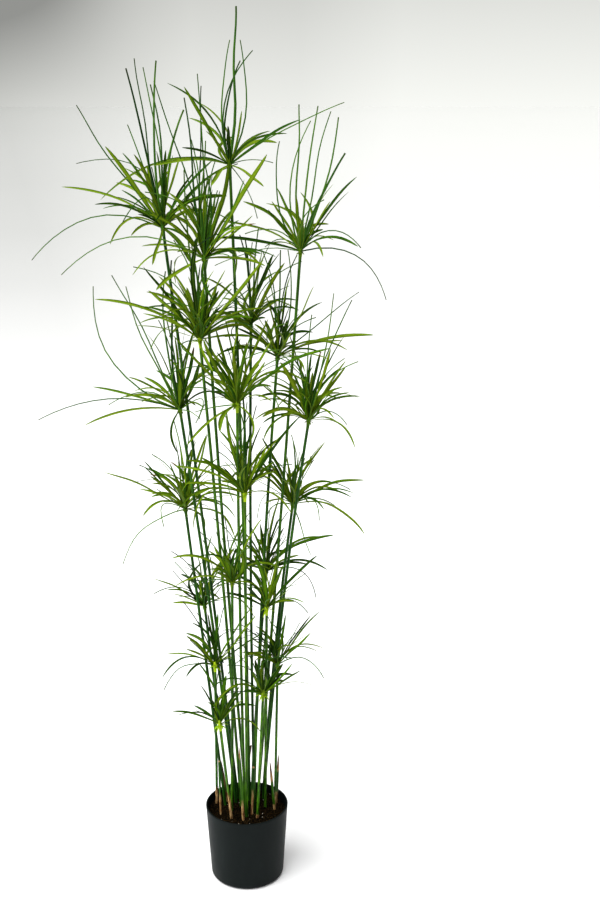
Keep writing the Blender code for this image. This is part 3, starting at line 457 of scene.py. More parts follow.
class Finish(NodeBoard):
    """Base of every finish: a material on one Principled shader, with the nodes that feed it."""

    name: str = "finish"

    def __init__(self) -> None:
        """Make the material and build its nodes."""
        self.material = bpy.data.materials.new(self.name)
        self.material.use_nodes = True
        super().__init__(self.material.node_tree)
        self.shader = self.tree.nodes["Principled BSDF"]
        self.build()

    def build(self) -> None:
        """Build the nodes. Each finish has its own."""
        raise NotImplementedError

    def feed(self, socket: str, value: object) -> None:
        """Fill one of the shader's own sockets, by its name."""
        self.put(self.shader.inputs[socket], value)

    def attribute(self, name: str) -> Socket:
        """The number that each point of a piece carries under a name."""
        return self.add("ShaderNodeAttribute", attribute_name=name).outputs["Fac"]

    def place(self, scale: tuple[float, float, float] = (1.0, 1.0, 1.0)) -> Socket:
        """The place on the piece, stretched by a scale for each axis."""
        coordinates = self.add("ShaderNodeTexCoord").outputs["Object"]
        return self.add("ShaderNodeMapping", {"Vector": coordinates, "Scale": scale}).outputs[0]

    def noise(self, place: Socket, scale: float, detail: float = 3.0, roughness: float = 0.55) -> Socket:
        """Cloudy noise between about 0.3 and 0.7.

        Args:
            place: Where it is read.
            scale: Clouds to the metre.
            detail: Octaves.
            roughness: Weight of the finer octaves.

        Returns:
            The noise's socket.
        """
        made = self.add("ShaderNodeTexNoise", {"Vector": place, "Scale": scale, "Detail": detail,
                                               "Roughness": roughness})
        return made.outputs["Fac"]

    def swing(self, clouds: Socket, low: float, high: float) -> Socket:
        """A noise's usual range, 0.3 to 0.7, stretched to another."""
        return self.span(clouds, 0.3, 0.7, low, high)

    def blend(self, share: Socket, first: Socket, second: Socket | Colour, how: str = "MIX") -> Socket:
        """Mix two colours.

        Args:
            share: Share of the second.
            first: The first colour's socket.
            second: The second colour, or its socket.
            how: The kind of mix.

        Returns:
            The mixed colour's socket.
        """
        over = second if isinstance(second, Socket) else (*second, 1.0)
        return self.add("ShaderNodeMix", {0: share, 6: first, 7: over}, data_type="RGBA",
                        blend_type=how).outputs[2]

    def relief(self, height: Socket, strength: float, distance: float) -> None:
        """Give the surface a fine relief.

        Args:
            height: Height of the relief, from 0 to 1.
            strength: How much of it shows.
            distance: Its depth in metres.
        """
        node = self.add("ShaderNodeBump", {"Height": height, "Strength": strength, "Distance": distance})
        self.feed("Normal", node.outputs["Normal"])

    def gloss(self, clouds: Socket, smooth: float, rough: float, specular: float) -> None:
        """Let the roughness follow a noise between two values, and set how strongly the surface reflects."""
        self.feed("Roughness", self.swing(clouds, smooth, rough))
        self.feed("Specular IOR Level", specular)


class LeafFinish(Finish):
    """Narrow green leaf: olive and veined, brownish at its edges and pale at its root; one half of its fold
    carries painted shade, and its underside is darker, partly its own duller green and partly painted shade.
    """

    name = "leaf_green_blade"
    greens: Stops = ((0.0, (0.007, 0.026, 0.001)), (0.30, (0.030, 0.092, 0.002)),
                     (0.56, (0.140, 0.235, 0.004)), (0.85, (0.225, 0.305, 0.012)),
                     (1.0, (0.400, 0.620, 0.012)))
    fresh_tint: Colour = (0.64, 1.02, 1.10)
    vein_green: Colour = (0.014, 0.040, 0.002)
    rib_green: Colour = (0.17, 0.25, 0.02)
    # Painted shade on one half of the fold
    shaded_half_green: Colour = (0.016, 0.042, 0.002)
    edge_brown: Colour = (0.038, 0.042, 0.004)
    root_green: Colour = (0.13, 0.19, 0.010)
    # The underside's darker green: partly its own duller colour, partly painted shade
    underside_shade_green: Colour = (0.014, 0.045, 0.004)
    dry_brown: Colour = (0.11, 0.075, 0.020)
    clouds_to_metre: float = 38.0
    vein_turns: float = 31.0
    tint_turns: float = 37.0
    vein_depth: float = 0.00025

    def build(self) -> None:
        """Colour by tone, side, vein and length, with painted shade on one half of the fold and on the
        underside.
        """
        along = self.attribute("along")
        across = self.attribute("across")
        aside = self.math("ABSOLUTE", across)
        clouds = self.noise(self.place(), self.clouds_to_metre)
        own_tone = self.attribute("tone")
        tone = self.math("ADD", own_tone, self.swing(clouds, -0.12, 0.12))
        leaf_by_leaf = self.math("FRACT", self.math("MULTIPLY", own_tone, self.tint_turns))
        fresh = self.math("MULTIPLY", self.span(leaf_by_leaf, 0.35, 0.65),
                          self.span(tone, 0.42, 0.70, 1.0, 0.25))
        colour = self.blend(fresh, self.ramp(tone, self.greens), self.fresh_tint, "MULTIPLY")
        vein = self.math("SINE", self.math("MULTIPLY", across, self.vein_turns))
        rib = self.span(aside, 0.03, 0.16, 0.45, 0.0)
        # Painted shade: the half of the fold on one side of the midrib is darkened; grown is how much of it,
        # and of the underside's painted shade, is kept, little on the lightest tones.
        grown = self.span(tone, 0.80, 0.92, 1.0, 0.15)
        half = self.math("MULTIPLY", self.span(across, 0.05, 0.55, 0.0, 0.50), grown)
        edge = self.span(aside, 0.72, 0.95, 0.0, 0.40)
        root = self.math("MULTIPLY", self.span(along, 0.02, 0.22, 0.50, 0.0), self.span(tone, 0.30, 0.55))
        # The underside is darkened, partly for its own duller green and partly as painted shade.
        below = self.math("MULTIPLY", self.span(self.attribute("upper"), -0.30, 0.0, 0.40, 0.0), grown)
        dry = self.span(self.attribute("dry"), 0.25, 0.75)
        for share, over in ((self.span(vein, -1.0, 1.0, 0.0, 0.28), self.vein_green), (rib, self.rib_green),
                            (half, self.shaded_half_green), (edge, self.edge_brown), (root, self.root_green),
                            (below, self.underside_shade_green), (dry, self.dry_brown)):
            colour = self.blend(share, colour, over)
        self.feed("Base Color", colour)
        self.gloss(clouds, 0.42, 0.58, 0.07)
        self.relief(vein, 0.35, self.vein_depth)


class ThreadFinish(Finish):
    """Thin green thread among the leaves."""

    name = "leaf_green_thread"
    greens: Stops = ((0.0, (0.007, 0.028, 0.005)), (0.5, (0.036, 0.108, 0.012)), (1.0, (0.105, 0.218, 0.021)))
    tip_brown: Colour = (0.05, 0.045, 0.025)
    clouds_to_metre: float = 30.0

    def build(self) -> None:
        """Colour by tone and length."""
        clouds = self.noise(self.place(), self.clouds_to_metre)
        tone = self.math("ADD", self.attribute("tone"), self.swing(clouds, -0.15, 0.15))
        tip = self.span(self.attribute("along"), 0.80, 1.0, 0.0, 0.5)
        self.feed("Base Color", self.blend(tip, self.ramp(tone, self.greens), self.tip_brown))
        self.gloss(clouds, 0.42, 0.58, 0.07)


class StemFinish(Finish):
    """Smooth green stem with fine lengthwise streaks, partly ridges and partly painted shade along its sides,
    yellower or tan at its foot.
    """

    name = "stem_green_streaked"
    greens: Stops = ((0.0, (0.010, 0.052, 0.005)), (0.35, (0.034, 0.130, 0.011)),
                     (0.65, (0.090, 0.225, 0.010)), (0.83, (0.150, 0.290, 0.011)),
                     (1.0, (0.380, 0.520, 0.012)))
    # Dark green of the lengthwise streaks: partly ridges, partly painted shade
    streak_and_shade_green: Colour = (0.005, 0.026, 0.003)
    husk_browns: Stops = ((0.36, (0.090, 0.036, 0.013)), (0.50, (0.300, 0.170, 0.070)),
                          (0.64, (0.540, 0.390, 0.200)))
    withered_brown: Colour = (0.055, 0.020, 0.010)
    streaks_to_metre: float = 430.0
    husk_marks_to_metre: float = 420.0
    patches_to_metre: float = 22.0
    streak_depth: float = 0.0003

    def build(self) -> None:
        """Colour by tone, streak and dryness; the dark streaks are partly painted shade."""
        streaks = self.noise(self.place((1.0, 1.0, 0.012)), self.streaks_to_metre, 2.0)
        patches = self.noise(self.place((1.0, 1.0, 0.35)), self.patches_to_metre)
        tone = self.math("ADD", self.attribute("tone"), self.swing(patches, -0.16, 0.16))
        # Dark lengthwise streaks: partly the stem's ridges, partly painted shade that darkens a side of the
        # stem.
        streak_and_shade = self.math("MULTIPLY", self.span(streaks, 0.38, 0.56, 0.0, 0.80),
                           self.span(tone, 0.82, 0.95, 1.0, 0.2))
        streaked = self.blend(streak_and_shade, self.ramp(tone, self.greens), self.streak_and_shade_green)
        husk_marks = self.noise(self.place((1.0, 1.0, 0.12)), self.husk_marks_to_metre, 4.0)
        ragged = self.math("ADD", self.attribute("dry"), self.swing(patches, -0.25, 0.25))
        dry = self.span(ragged, 0.35, 0.65)
        husk = self.blend(self.span(ragged, 1.1, 1.7, 0.0, 0.9), self.ramp(husk_marks, self.husk_browns),
                          self.withered_brown)
        self.feed("Base Color", self.blend(dry, streaked, husk))
        self.feed("Roughness", self.span(dry, 0.0, 1.0, 0.36, 0.80))
        self.feed("Specular IOR Level", 0.15)
        self.relief(streaks, 0.30, self.streak_depth)


class PotFinish(Finish):
    """Matte charcoal plastic with a fine grain and a little dust."""

    name = "pot_plastic_charcoal"
    charcoals: Stops = ((0.35, (0.0046, 0.0074, 0.0072)), (0.60, (0.0067, 0.0102, 0.0099)),
                        (0.80, (0.0130, 0.0175, 0.0171)))
    grain_grey: Colour = (0.010, 0.0134, 0.0130)
    grain_to_metre: float = 1400.0
    dust_to_metre: float = 26.0
    grain_depth: float = 0.0002

    def build(self) -> None:
        """Colour by dust, gloss by grain."""
        grain = self.noise(self.place(), self.grain_to_metre, 2.0)
        dust = self.noise(self.place((1.0, 1.0, 0.5)), self.dust_to_metre, 5.0, 0.65)
        dusty = self.ramp(dust, self.charcoals)
        self.feed("Base Color", self.blend(self.swing(grain, 0.0, 0.25), dusty, self.grain_grey))
        self.gloss(dust, 0.42, 0.56, 0.12)
        self.relief(grain, 0.18, self.grain_depth)


class SoilFinish(Finish):
    """Dark brown potting soil, near black where its crumbly relief is lowest and redder where it is highest.
    """

    name = "potting_soil_crumbly"
    browns: Stops = ((0.42, (0.0010, 0.0008, 0.0004)), (0.53, (0.0060, 0.0038, 0.0015)),
                     (0.62, (0.0700, 0.0440, 0.0165)))
    patch_brown: Colour = (0.020, 0.011, 0.004)
    crumbs_to_metre: float = 330.0
    patches_to_metre: float = 90.0
    crumb_depth: float = 0.0015

    def build(self) -> None:
        """Colour by crumb, with a rough relief."""
        crumbs = self.noise(self.place(), self.crumbs_to_metre, 5.0, 0.70)
        patches = self.noise(self.place(), self.patches_to_metre)
        patch = self.span(patches, 0.50, 0.70, 0.0, 0.6)
        self.feed("Base Color", self.blend(patch, self.ramp(crumbs, self.browns), self.patch_brown))
        self.gloss(crumbs, 0.85, 0.98, 0.04)
        self.relief(crumbs, 0.8, self.crumb_depth)


class PerliteFinish(Finish):
    """Chalky white grain of perlite, greyed by the soil."""

    name = "perlite_white"
    chalks: Stops = ((0.35, (0.42, 0.38, 0.31)), (0.60, (0.74, 0.71, 0.64)))
    dirt_to_metre: float = 600.0

    def build(self) -> None:
        """Colour by a light dirt."""
        dirt = self.noise(self.place(), self.dirt_to_metre)
        self.feed("Base Color", self.ramp(dirt, self.chalks))
        self.feed("Roughness", self.swing(dirt, 0.75, 0.95))


class FloorFinish(Finish):
    """Seamless white studio paper, with painted shade: greyer far behind the plant and toward the left, where
    the studio light falls off.
    """

    name = "studio_paper"
    white: Colour = (0.97, 0.97, 0.97)
    far_shade_greys: Stops = ((0.0, (0.381, 0.386, 0.370)), (0.49, (0.544, 0.550, 0.529)),
                        (0.75, (0.544, 0.550, 0.529)), (1.0, (0.600, 0.606, 0.583)))
    far_off: float = 120.0
    white_shares: Sequence[tuple[float, float]] = (
        (0.02, 1.0), (0.041, 0.62), (0.055, 0.42), (0.076, 0.28), (0.112, 0.19), (0.18, 0.14), (0.43, 0.07),
        (1.0, 0.0))

    def build(self) -> None:
        """White near the plant, grey a long way off: painted shade of the studio light falling off."""
        place = self.place()
        axes = self.add("ShaderNodeSeparateXYZ", {0: place}).outputs
        away = self.add("ShaderNodeVectorMath", {0: place}, operation="LENGTH").outputs["Value"]
        side = self.math("DIVIDE", axes["X"], self.math("MAXIMUM", axes["Y"], 1.0))
        # Painted shade: the far floor greys toward the left and with distance.
        far = self.ramp(self.span(side, GREYS_FROM, GREYS_TO), self.far_shade_greys)
        near = self.ramp(self.span(away, 0.0, self.far_off),
                         tuple((share, (grey, grey, grey)) for share, grey in self.white_shares))
        self.feed("Base Color", self.blend(near, far, self.white))
        self.feed("Roughness", 0.9)
        self.feed("Specular IOR Level", 0.1)


@dataclass(frozen=True)
class Finishes:
    """Every finish of the plant, made once."""

    leaf: Finish = field(default_factory=LeafFinish)
    thread: Finish = field(default_factory=ThreadFinish)
    stem: Finish = field(default_factory=StemFinish)
    pot: Finish = field(default_factory=PotFinish)
    soil: Finish = field(default_factory=SoilFinish)
    perlite: Finish = field(default_factory=PerliteFinish)
    floor: Finish = field(default_factory=FloorFinish)


class GeometryTree(NodeBoard):
    """Base of the two Geometry Nodes trees: named inputs, and a plain mesh as the result."""

    name: str = "tree"

    def __init__(self) -> None:
        """Open a tree with geometry in and out, then build it."""
        super().__init__(bpy.data.node_groups.new(self.name, "GeometryNodeTree"))
        self.entry = self.add("NodeGroupInput")
        self.exit = self.add("NodeGroupOutput")
        self.open("Geometry", "NodeSocketGeometry")
        self.tree.interface.new_socket("Geometry", in_out="OUTPUT", socket_type="NodeSocketGeometry")
        self.build()

    def build(self) -> None:
        """Build the nodes. Each tree has its own."""
        raise NotImplementedError

    def open(self, name: str, kind: str, value: object = None) -> Socket:
        """Give the tree a named input.

        Args:
            name: The input's name.
            kind: Its socket type.
            value: What it holds unless it is set.

        Returns:
            The input's socket inside the tree.
        """
        made = self.tree.interface.new_socket(name, in_out="INPUT", socket_type=kind)
        if value is not None:
            made.default_value = value
        return self.entry.outputs[name]

    def named(self, name: str, kind: str = "FLOAT") -> Socket:
        """Read a named attribute inside the tree."""
        reader = self.add("GeometryNodeInputNamedAttribute", {"Name": name}, data_type=kind)
        return reader.outputs["Attribute"]

    def run(self, name: str, guide: bpy.types.Mesh, values: dict[str, object]) -> bpy.types.Mesh:
        """Run the tree on a mesh.

        Args:
            name: Name of the mesh that comes out.
            guide: The mesh that goes in.
            values: What the tree's inputs are set to, by name.

        Returns:
            The finished plain mesh.
        """
        holder = bpy.data.objects.new(name + "_guide", guide)
        modifier = holder.modifiers.new("build", "NODES")
        modifier.node_group = self.tree
        for item in self.tree.interface.items_tree:
            if item.item_type == "SOCKET" and item.in_out == "INPUT" and item.name in values:
                modifier[item.identifier] = values[item.name]
        bpy.context.scene.collection.objects.link(holder)
        graph = bpy.context.evaluated_depsgraph_get()
        result = bpy.data.meshes.new_from_object(holder.evaluated_get(graph))
        result.name = name
        bpy.data.objects.remove(holder, do_unlink=True)
        return result


class StrandTree(GeometryTree):
    """Sweeps a folded blade, a thin thread or a round outline along each strand of a guide mesh."""

    name = "strand_sweep"

    def build(self) -> None:
        """Sweep each kind of strand, join them and give each its finish."""
        fold = self.open("Blade Fold", "NodeSocketFloat", 0.34)
        thickness = self.open("Blade Thickness", "NodeSocketFloat", 0.10)
        sides = {StrandKind.BLADE: self.open("Blade Sides", "NodeSocketInt", 8),
                 StrandKind.THREAD: self.open("Thread Sides", "NodeSocketInt", 5),
                 StrandKind.ROUND: self.open("Round Sides", "NodeSocketInt", 14)}
        finishes = {kind: self.open(f"{kind.name.title()} Finish", "NodeSocketMaterial")
                    for kind in StrandKind}
        join = self.add("GeometryNodeJoinGeometry")
        for kind in StrandKind:
            outline = self.outline(kind, sides[kind], fold, thickness)
            self.tree.links.new(self.swept(kind, outline), join.inputs[0])
        smooth = self.add("GeometryNodeSetShadeSmooth", {"Geometry": join.outputs[0]})
        shape = self.add("GeometryNodeRealizeInstances", {"Geometry": smooth.outputs[0]}).outputs[0]
        for kind in StrandKind:
            shape = self.add("GeometryNodeSetMaterial", {
                "Geometry": shape, "Selection": self.is_kind(kind), "Material": finishes[kind]}).outputs[0]
        self.tree.links.new(shape, self.exit.inputs[0])

    def is_kind(self, kind: StrandKind) -> Socket:
        """Whether a point belongs to a strand of this kind."""
        compare = self.add("FunctionNodeCompare", data_type="INT", operation="EQUAL")
        sides = {socket.identifier: socket for socket in compare.inputs}
        self.put(sides["A_INT"], self.named("kind", "INT"))
        self.put(sides["B_INT"], int(kind))
        return compare.outputs[0]

    def outline(self, kind: StrandKind, sides: Socket, fold: Socket, thickness: Socket) -> Socket:
        """The outline of a kind of strand, one unit wide to each side.

        Args:
            kind: The kind of strand.
            sides: How many corners it has.
            fold: How far a blade's edges stand above its midrib.
            thickness: Half of a blade's thickness.

        Returns:
            The outline as a closed curve, which carries how far across and how far up it is.
        """
        circle = self.add("GeometryNodeCurvePrimitiveCircle",
                          {"Resolution": sides, "Radius": 1.0}).outputs["Curve"]
        axes = self.add("ShaderNodeSeparateXYZ", {0: self.add("GeometryNodeInputPosition").outputs[0]})
        for name, axis in (("upper", "X"), ("across", "Y")):
            circle = self.add("GeometryNodeStoreNamedAttribute", {
                "Geometry": circle, "Name": name, "Value": axes.outputs[axis]},
                data_type="FLOAT", domain="POINT").outputs["Geometry"]
        if kind is not StrandKind.BLADE:
            return circle
        lift = self.math("MULTIPLY", self.math("ABSOLUTE", axes.outputs["Y"]), fold)
        height = self.math("ADD", self.math("MULTIPLY", axes.outputs["X"], thickness), lift)
        place = self.add("ShaderNodeCombineXYZ", {"X": height, "Y": axes.outputs["Y"]}).outputs[0]
        return self.add("GeometryNodeSetPosition", {"Geometry": circle, "Position": place}).outputs[0]

    def swept(self, kind: StrandKind, outline: Socket) -> Socket:
        """Sweep an outline along the strands of one kind.

        Args:
            kind: The kind of strand.
            outline: The outline's curve.

        Returns:
            The swept mesh.
        """
        chosen = self.add("GeometryNodeSeparateGeometry", {
            "Geometry": self.entry.outputs["Geometry"], "Selection": self.is_kind(kind)}, domain="POINT")
        path = self.add("GeometryNodeMeshToCurve", {"Mesh": chosen.outputs["Selection"]}).outputs["Curve"]
        rolled = self.add("GeometryNodeSetCurveNormal", {
            "Curve": path, "Normal": self.named("face_up", "FLOAT_VECTOR")}, mode="FREE").outputs[0]
        return self.add("GeometryNodeCurveToMesh", {
            "Curve": rolled, "Profile Curve": outline, "Scale": self.named("half_width"),
            "Fill Caps": True}).outputs["Mesh"]


class CrumbTree(GeometryTree):
    """Strews small rough grains over the faces of a mesh."""

    name = "crumb_strew"
    full_turn: tuple[float, float, float] = (6.28, 6.28, 6.28)
    flattest: tuple[float, float, float] = (0.6, 0.6, 0.45)
    stoutest: tuple[float, float, float] = (1.5, 1.1, 0.9)

    def build(self) -> None:
        """Scatter points, put a grain on each, make them real and give them their finish."""
        density = self.open("Density", "NodeSocketFloat", 40000.0)
        seed = self.open("Seed", "NodeSocketInt", 0)
        smallest = self.open("Smallest", "NodeSocketFloat", 0.0006)
        largest = self.open("Largest", "NodeSocketFloat", 0.0020)
        finish = self.open("Finish", "NodeSocketMaterial")
        spots = self.add("GeometryNodeDistributePointsOnFaces", {
            "Mesh": self.entry.outputs["Geometry"], "Density": density, "Seed": seed})
        grain = self.add("GeometryNodeMeshIcoSphere", {"Radius": 1.0, "Subdivisions": 1})
        turn = self.add("FunctionNodeRandomValue", {"Max": self.full_turn, "Seed": seed},
                        data_type="FLOAT_VECTOR")
        size = self.add("FunctionNodeRandomValue", data_type="FLOAT")
        for socket in size.inputs:
            self.put(socket, {"Min_001": smallest, "Max_001": largest, "Seed": seed}.get(socket.identifier))
        shape = self.add("FunctionNodeRandomValue", {
            "Min": self.flattest, "Max": self.stoutest, "Seed": seed}, data_type="FLOAT_VECTOR")
        scale = self.add("ShaderNodeVectorMath", {0: shape.outputs[0], 1: size.outputs[1]},
                         operation="MULTIPLY")
        placed = self.add("GeometryNodeInstanceOnPoints", {
            "Points": spots.outputs["Points"], "Instance": grain.outputs["Mesh"],
            "Rotation": turn.outputs[0], "Scale": scale.outputs[0]})
        real = self.add("GeometryNodeRealizeInstances", {"Geometry": placed.outputs[0]}).outputs[0]
        dressed = self.add("GeometryNodeSetMaterial", {"Geometry": real, "Material": finish}).outputs[0]
        self.tree.links.new(dressed, self.exit.inputs[0])


def mesh_of(shape: bmesh.types.BMesh, name: str, finish: Finish | None = None,
            crease: float = 180.0) -> bpy.types.Mesh:
    """Turn a shape into a mesh and let go of it.

    Args:
        shape: The shape.
        name: The mesh's name.
        finish: Its finish, if it is a piece's own mesh, which then gets its normals turned outward and smooth
            shading.
        crease: Angle between faces from which an edge stays sharp, in degrees.

    Returns:
        The mesh.
    """
    mesh = bpy.data.meshes.new(name)
    if finish:
        bmesh.ops.recalc_face_normals(shape, faces=shape.faces)
    shape.to_mesh(mesh)
    shape.free()
    if finish:
        mesh.materials.append(finish.material)
        mesh.shade_smooth()
        mesh.set_sharp_from_angle(angle=math.radians(crease))
    return mesh


@dataclass
class Workshop:
    """What every sub-assembly needs: the plant's box, the finishes and the two trees."""

    room: tuple[Vector, Vector]
    finishes: Finishes = field(default_factory=Finishes)
    strands: StrandTree = field(default_factory=StrandTree)
    crumbs: CrumbTree = field(default_factory=CrumbTree)
    blade_crease: float = math.radians(24)

    def sweep(self, name: str, strands: Sequence[Strand], blade: Finish, sides: int = 14) -> bpy.types.Mesh:
        """Turn strands into one mesh.

        Args:
            name: The mesh's name.
            strands: The strands.
            blade: The finish of those that are blades.
            sides: Corners of a round strand's outline.

        Returns:
            The mesh, with the crease of every blade kept sharp.
        """
        guide = bpy.data.meshes.new(name + "_guide")
        counts = [len(strand.points) for strand in strands]
        starts = np.concatenate(([0], np.cumsum(counts)[:-1]))
        edges = [(start + i, start + i + 1) for start, count in zip(starts, counts) for i in range(count - 1)]
        guide.from_pydata(np.concatenate([s.points for s in strands]).tolist(), edges, [])
        columns = {
            "half_width": ("FLOAT", "value", [s.half_widths for s in strands]),
            "face_up": ("FLOAT_VECTOR", "vector", [s.faces_up() for s in strands]),
            "along": ("FLOAT", "value", [np.linspace(0, 1, n) for n in counts]),
            "tone": ("FLOAT", "value", [np.full(n, s.tone) for s, n in zip(strands, counts)]),
            "dry": ("FLOAT", "value", [s.dry for s in strands]),
            "kind": ("INT", "value", [np.full(n, int(s.kind)) for s, n in zip(strands, counts)]),
        }
        for label, (kind, slot, values) in columns.items():
            guide.attributes.new(label, kind, "POINT").data.foreach_set(slot, np.concatenate(values).ravel())
        mesh = self.strands.run(name, guide, {
            "Blade Finish": blade.material, "Thread Finish": self.finishes.thread.material,
            "Round Finish": self.finishes.stem.material, "Round Sides": sides})
        mesh.set_sharp_from_angle(angle=self.blade_crease)
        return mesh

    def show(self, name: str, mesh: bpy.types.Mesh, slot: str, *nodes: str) -> None:
        """Put a finished mesh in the scene as a piece of the plant.

        Args:
            name: The piece's name.
            mesh: Its mesh.
            slot: Name of a material slot; not used.
            nodes: The solids that it stands for.
        """
        piece = bpy.data.objects.new(name, mesh)
        bpy.context.scene.collection.objects.link(piece)
        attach(piece, BODY)
        if nodes:
            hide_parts(*nodes)
        triangles = sum(len(face.vertices) - 2 for face in mesh.polygons)
        log.info("%s: %d triangles, for %s", name, triangles, ", ".join(nodes) or "no solid")


@dataclass(frozen=True)
class Sheath:
    """Dry pointed scales that wrap a stem's foot, with torn tips at different heights."""

    height: float
    scales: int = 6
    samples: int = 8
    below_soil: float = 0.008
    shortest: float = 0.55
    half_width: float = 0.0021
    least_half_width: float = 0.0002
    fullness: float = 2.2
    bluntness: float = 0.02
    clearance: float = 0.08
    gap: float = 0.0001
    spread: float = 0.0007
    unevenness: float = 0.2

    def strands(self, stem: "Stem") -> list[Strand]:
        """The scales round a stem.

        Args:
            stem: The stem that they wrap.

        Returns:
            One strand for each scale.
        """
        rng = np.random.default_rng(SHEATH_SEED + stem.number)
        share = np.linspace(0.0, 1.0, self.samples)
        stand_off = stem.foot_radius * (1 + self.clearance) + self.gap + self.spread * share ** 3
        shape = np.sqrt(np.clip(1 + self.bluntness - share ** self.fullness, 0.0, 1.0))
        widths = self.half_width * shape + self.least_half_width
        length = stem.plan.place[2] * CM - SOIL_TOP
        made = []
        for turn in turns_round(rng, self.scales, self.unevenness):
            outward = outward_at(turn)
            top = self.height * rng.uniform(self.shortest, 1.0)
            rise = share * (top + self.below_soil) - self.below_soil
            points = stem.path(rise / length) + outward * stand_off[:, None]
            made.append(Strand(StrandKind.BLADE, points, widths, np.tile(-outward, (self.samples, 1)),
                               stem.plan.stem_tone, np.ones(self.samples)))
        return made


@dataclass
class Stem:
    """A planted stem, with a dry foot and a papery sheath where the photograph shows them."""

    number: int
    plan: HeadPlan
    foot_radius: float = 0.0031
    top_radius: float = 0.0029
    flare: float = 0.10
    flare_height: float = 0.02
    samples: int = 26
    lowest_sample: float = 0.012
    highest_sample: float = 0.992
    dry_height: float = 0.0
    dry_excess: float = 1.2
    sheath: Sheath | None = None

    def path(self, along: np.ndarray) -> np.ndarray:
        """Points up the stem from the soil to the head's centre."""
        foot = np.array((self.plan.soil[0] * CM, self.plan.soil[1] * CM, SOIL_TOP))
        top = np.array(self.plan.place) * CM
        bow = self.plan.bow * CM * 4 * along * (1 - along)
        return foot + (top - foot) * along[:, None] + np.outer(bow, (1.0, 0.0, 0.0))

    def strands(self) -> list[Strand]:
        """The stem itself and the scales of its sheath."""
        along = np.concatenate(([0.0], np.linspace(self.lowest_sample, self.highest_sample, self.samples)))
        points = self.path(along)
        direction = unit(points[0] - points[1])
        buried = points[0] + direction * (points[0][2] - PLANTED_TO) / -direction[2]
        points = np.vstack((buried, points))
        along = np.concatenate(([0.0], along))
        height = np.maximum(points[:, 2] - SOIL_TOP, 0.0)
        radii = self.foot_radius + (self.top_radius - self.foot_radius) * along
        radii = radii * (1 + self.flare * np.exp(-height / self.flare_height))
        dry = np.zeros(len(points))
        if self.dry_height:
            dry = np.clip(self.dry_excess - height / self.dry_height, 0.0, 1.0)
        stem = Strand.rounded(points, radii, self.plan.stem_tone, dry)
        return [stem, *(self.sheath.strands(self) if self.sheath else ())]

    def build(self, shop: Workshop) -> None:
        """Build the stem as one piece."""
        name = f"papyrus_stem_{self.number:02d}"
        shop.show(name, shop.sweep(name, self.strands(), shop.finishes.stem), "stem_green",
                  f"stem_{self.number:02d}")


@dataclass(frozen=True)
class Filling:
    """A kind of leaf that fills the heads between the leaves that their plans list.

    Its count holds for the topmost head at fullness one, and its length, in cm, for the topmost
    head. Its lift is in degrees above the level, its width in mm, and its bend is the arch as a
    share of the level reach, each from the least to the most.
    """

    count: int
    lift: tuple[float, float]
    length: tuple[float, float]
    width: tuple[float, float]
    bend: tuple[float, float]


@dataclass(frozen=True)
class Manner:
    """How a leaf lies: how much it turns its width to the viewer, its roll, and a thread's least radius."""

    to_viewer: float
    roll: float
    least_radius: float


# Leaves that the photograph shows, whose width is the one seen from there, and leaves that fill
LISTED = Manner(0.90, 0.28, 0.0008)
FILLED_IN = Manner(0.45, 0.40, 0.0010)


@dataclass(frozen=True)
class LeafForm:
    """Shape of the leaves: widths in mm, a spike's rise in cm, turns in radians, the rest as shares."""

    samples: int = 14
    thread_samples: int = 11
    crowding_to_tip: float = 1.35
    widest_at: float = 0.68
    root_width: float = 0.42
    point_sharpness: float = 1.1
    least_half_width: float = 0.22
    thread_below: float = 3.2
    spike_rise: float = 17.0
    spike_lean: float = 0.8
    spike_below: float = 7.5
    spike_least: float = 4.0
    spike_stoutness: float = 0.46
    thread_taper: float = 0.45
    faces_up: float = 0.60
    faces_in: float = 0.30
    sway: float = 0.018
    waves: tuple[float, float] = (1.2, 2.4)
    twist: float = 0.6
    flat_at: float = 0.3
    dry_leaves: float = 0.04
    dry_from: tuple[float, float] = (0.86, 0.95)
    dry_within: float = 0.05

    def half_widths(self, width_mm: float, along: np.ndarray) -> np.ndarray:
        """Half the width of a leaf at shares of its length: narrow root, broad end, short point."""
        full = width_mm * MM / 2
        swelling = self.root_width + (1 - self.root_width) * np.sin(np.pi / 2 * along / self.widest_at)
        past = (along - self.widest_at) / (1 - self.widest_at)
        closing = np.sqrt(np.clip(1 - past ** 2, 0.0, 1.0)) ** self.point_sharpness
        shape = np.where(along < self.widest_at, swelling, closing)
        return np.maximum(full * shape, self.least_half_width * MM)


@dataclass(frozen=True)
class LeafTone:
    """How light the leaves are, from 0 to 1, and by how much some of them are darker."""

    usual: float = 0.76
    darkest: float = 0.02
    lightest: float = 0.78
    spread: float = 0.14
    dark_leaves: float = 0.34
    darker: float = 0.42
    darker_if_steep: float = 0.22
    darker_if_low: float = 10.0


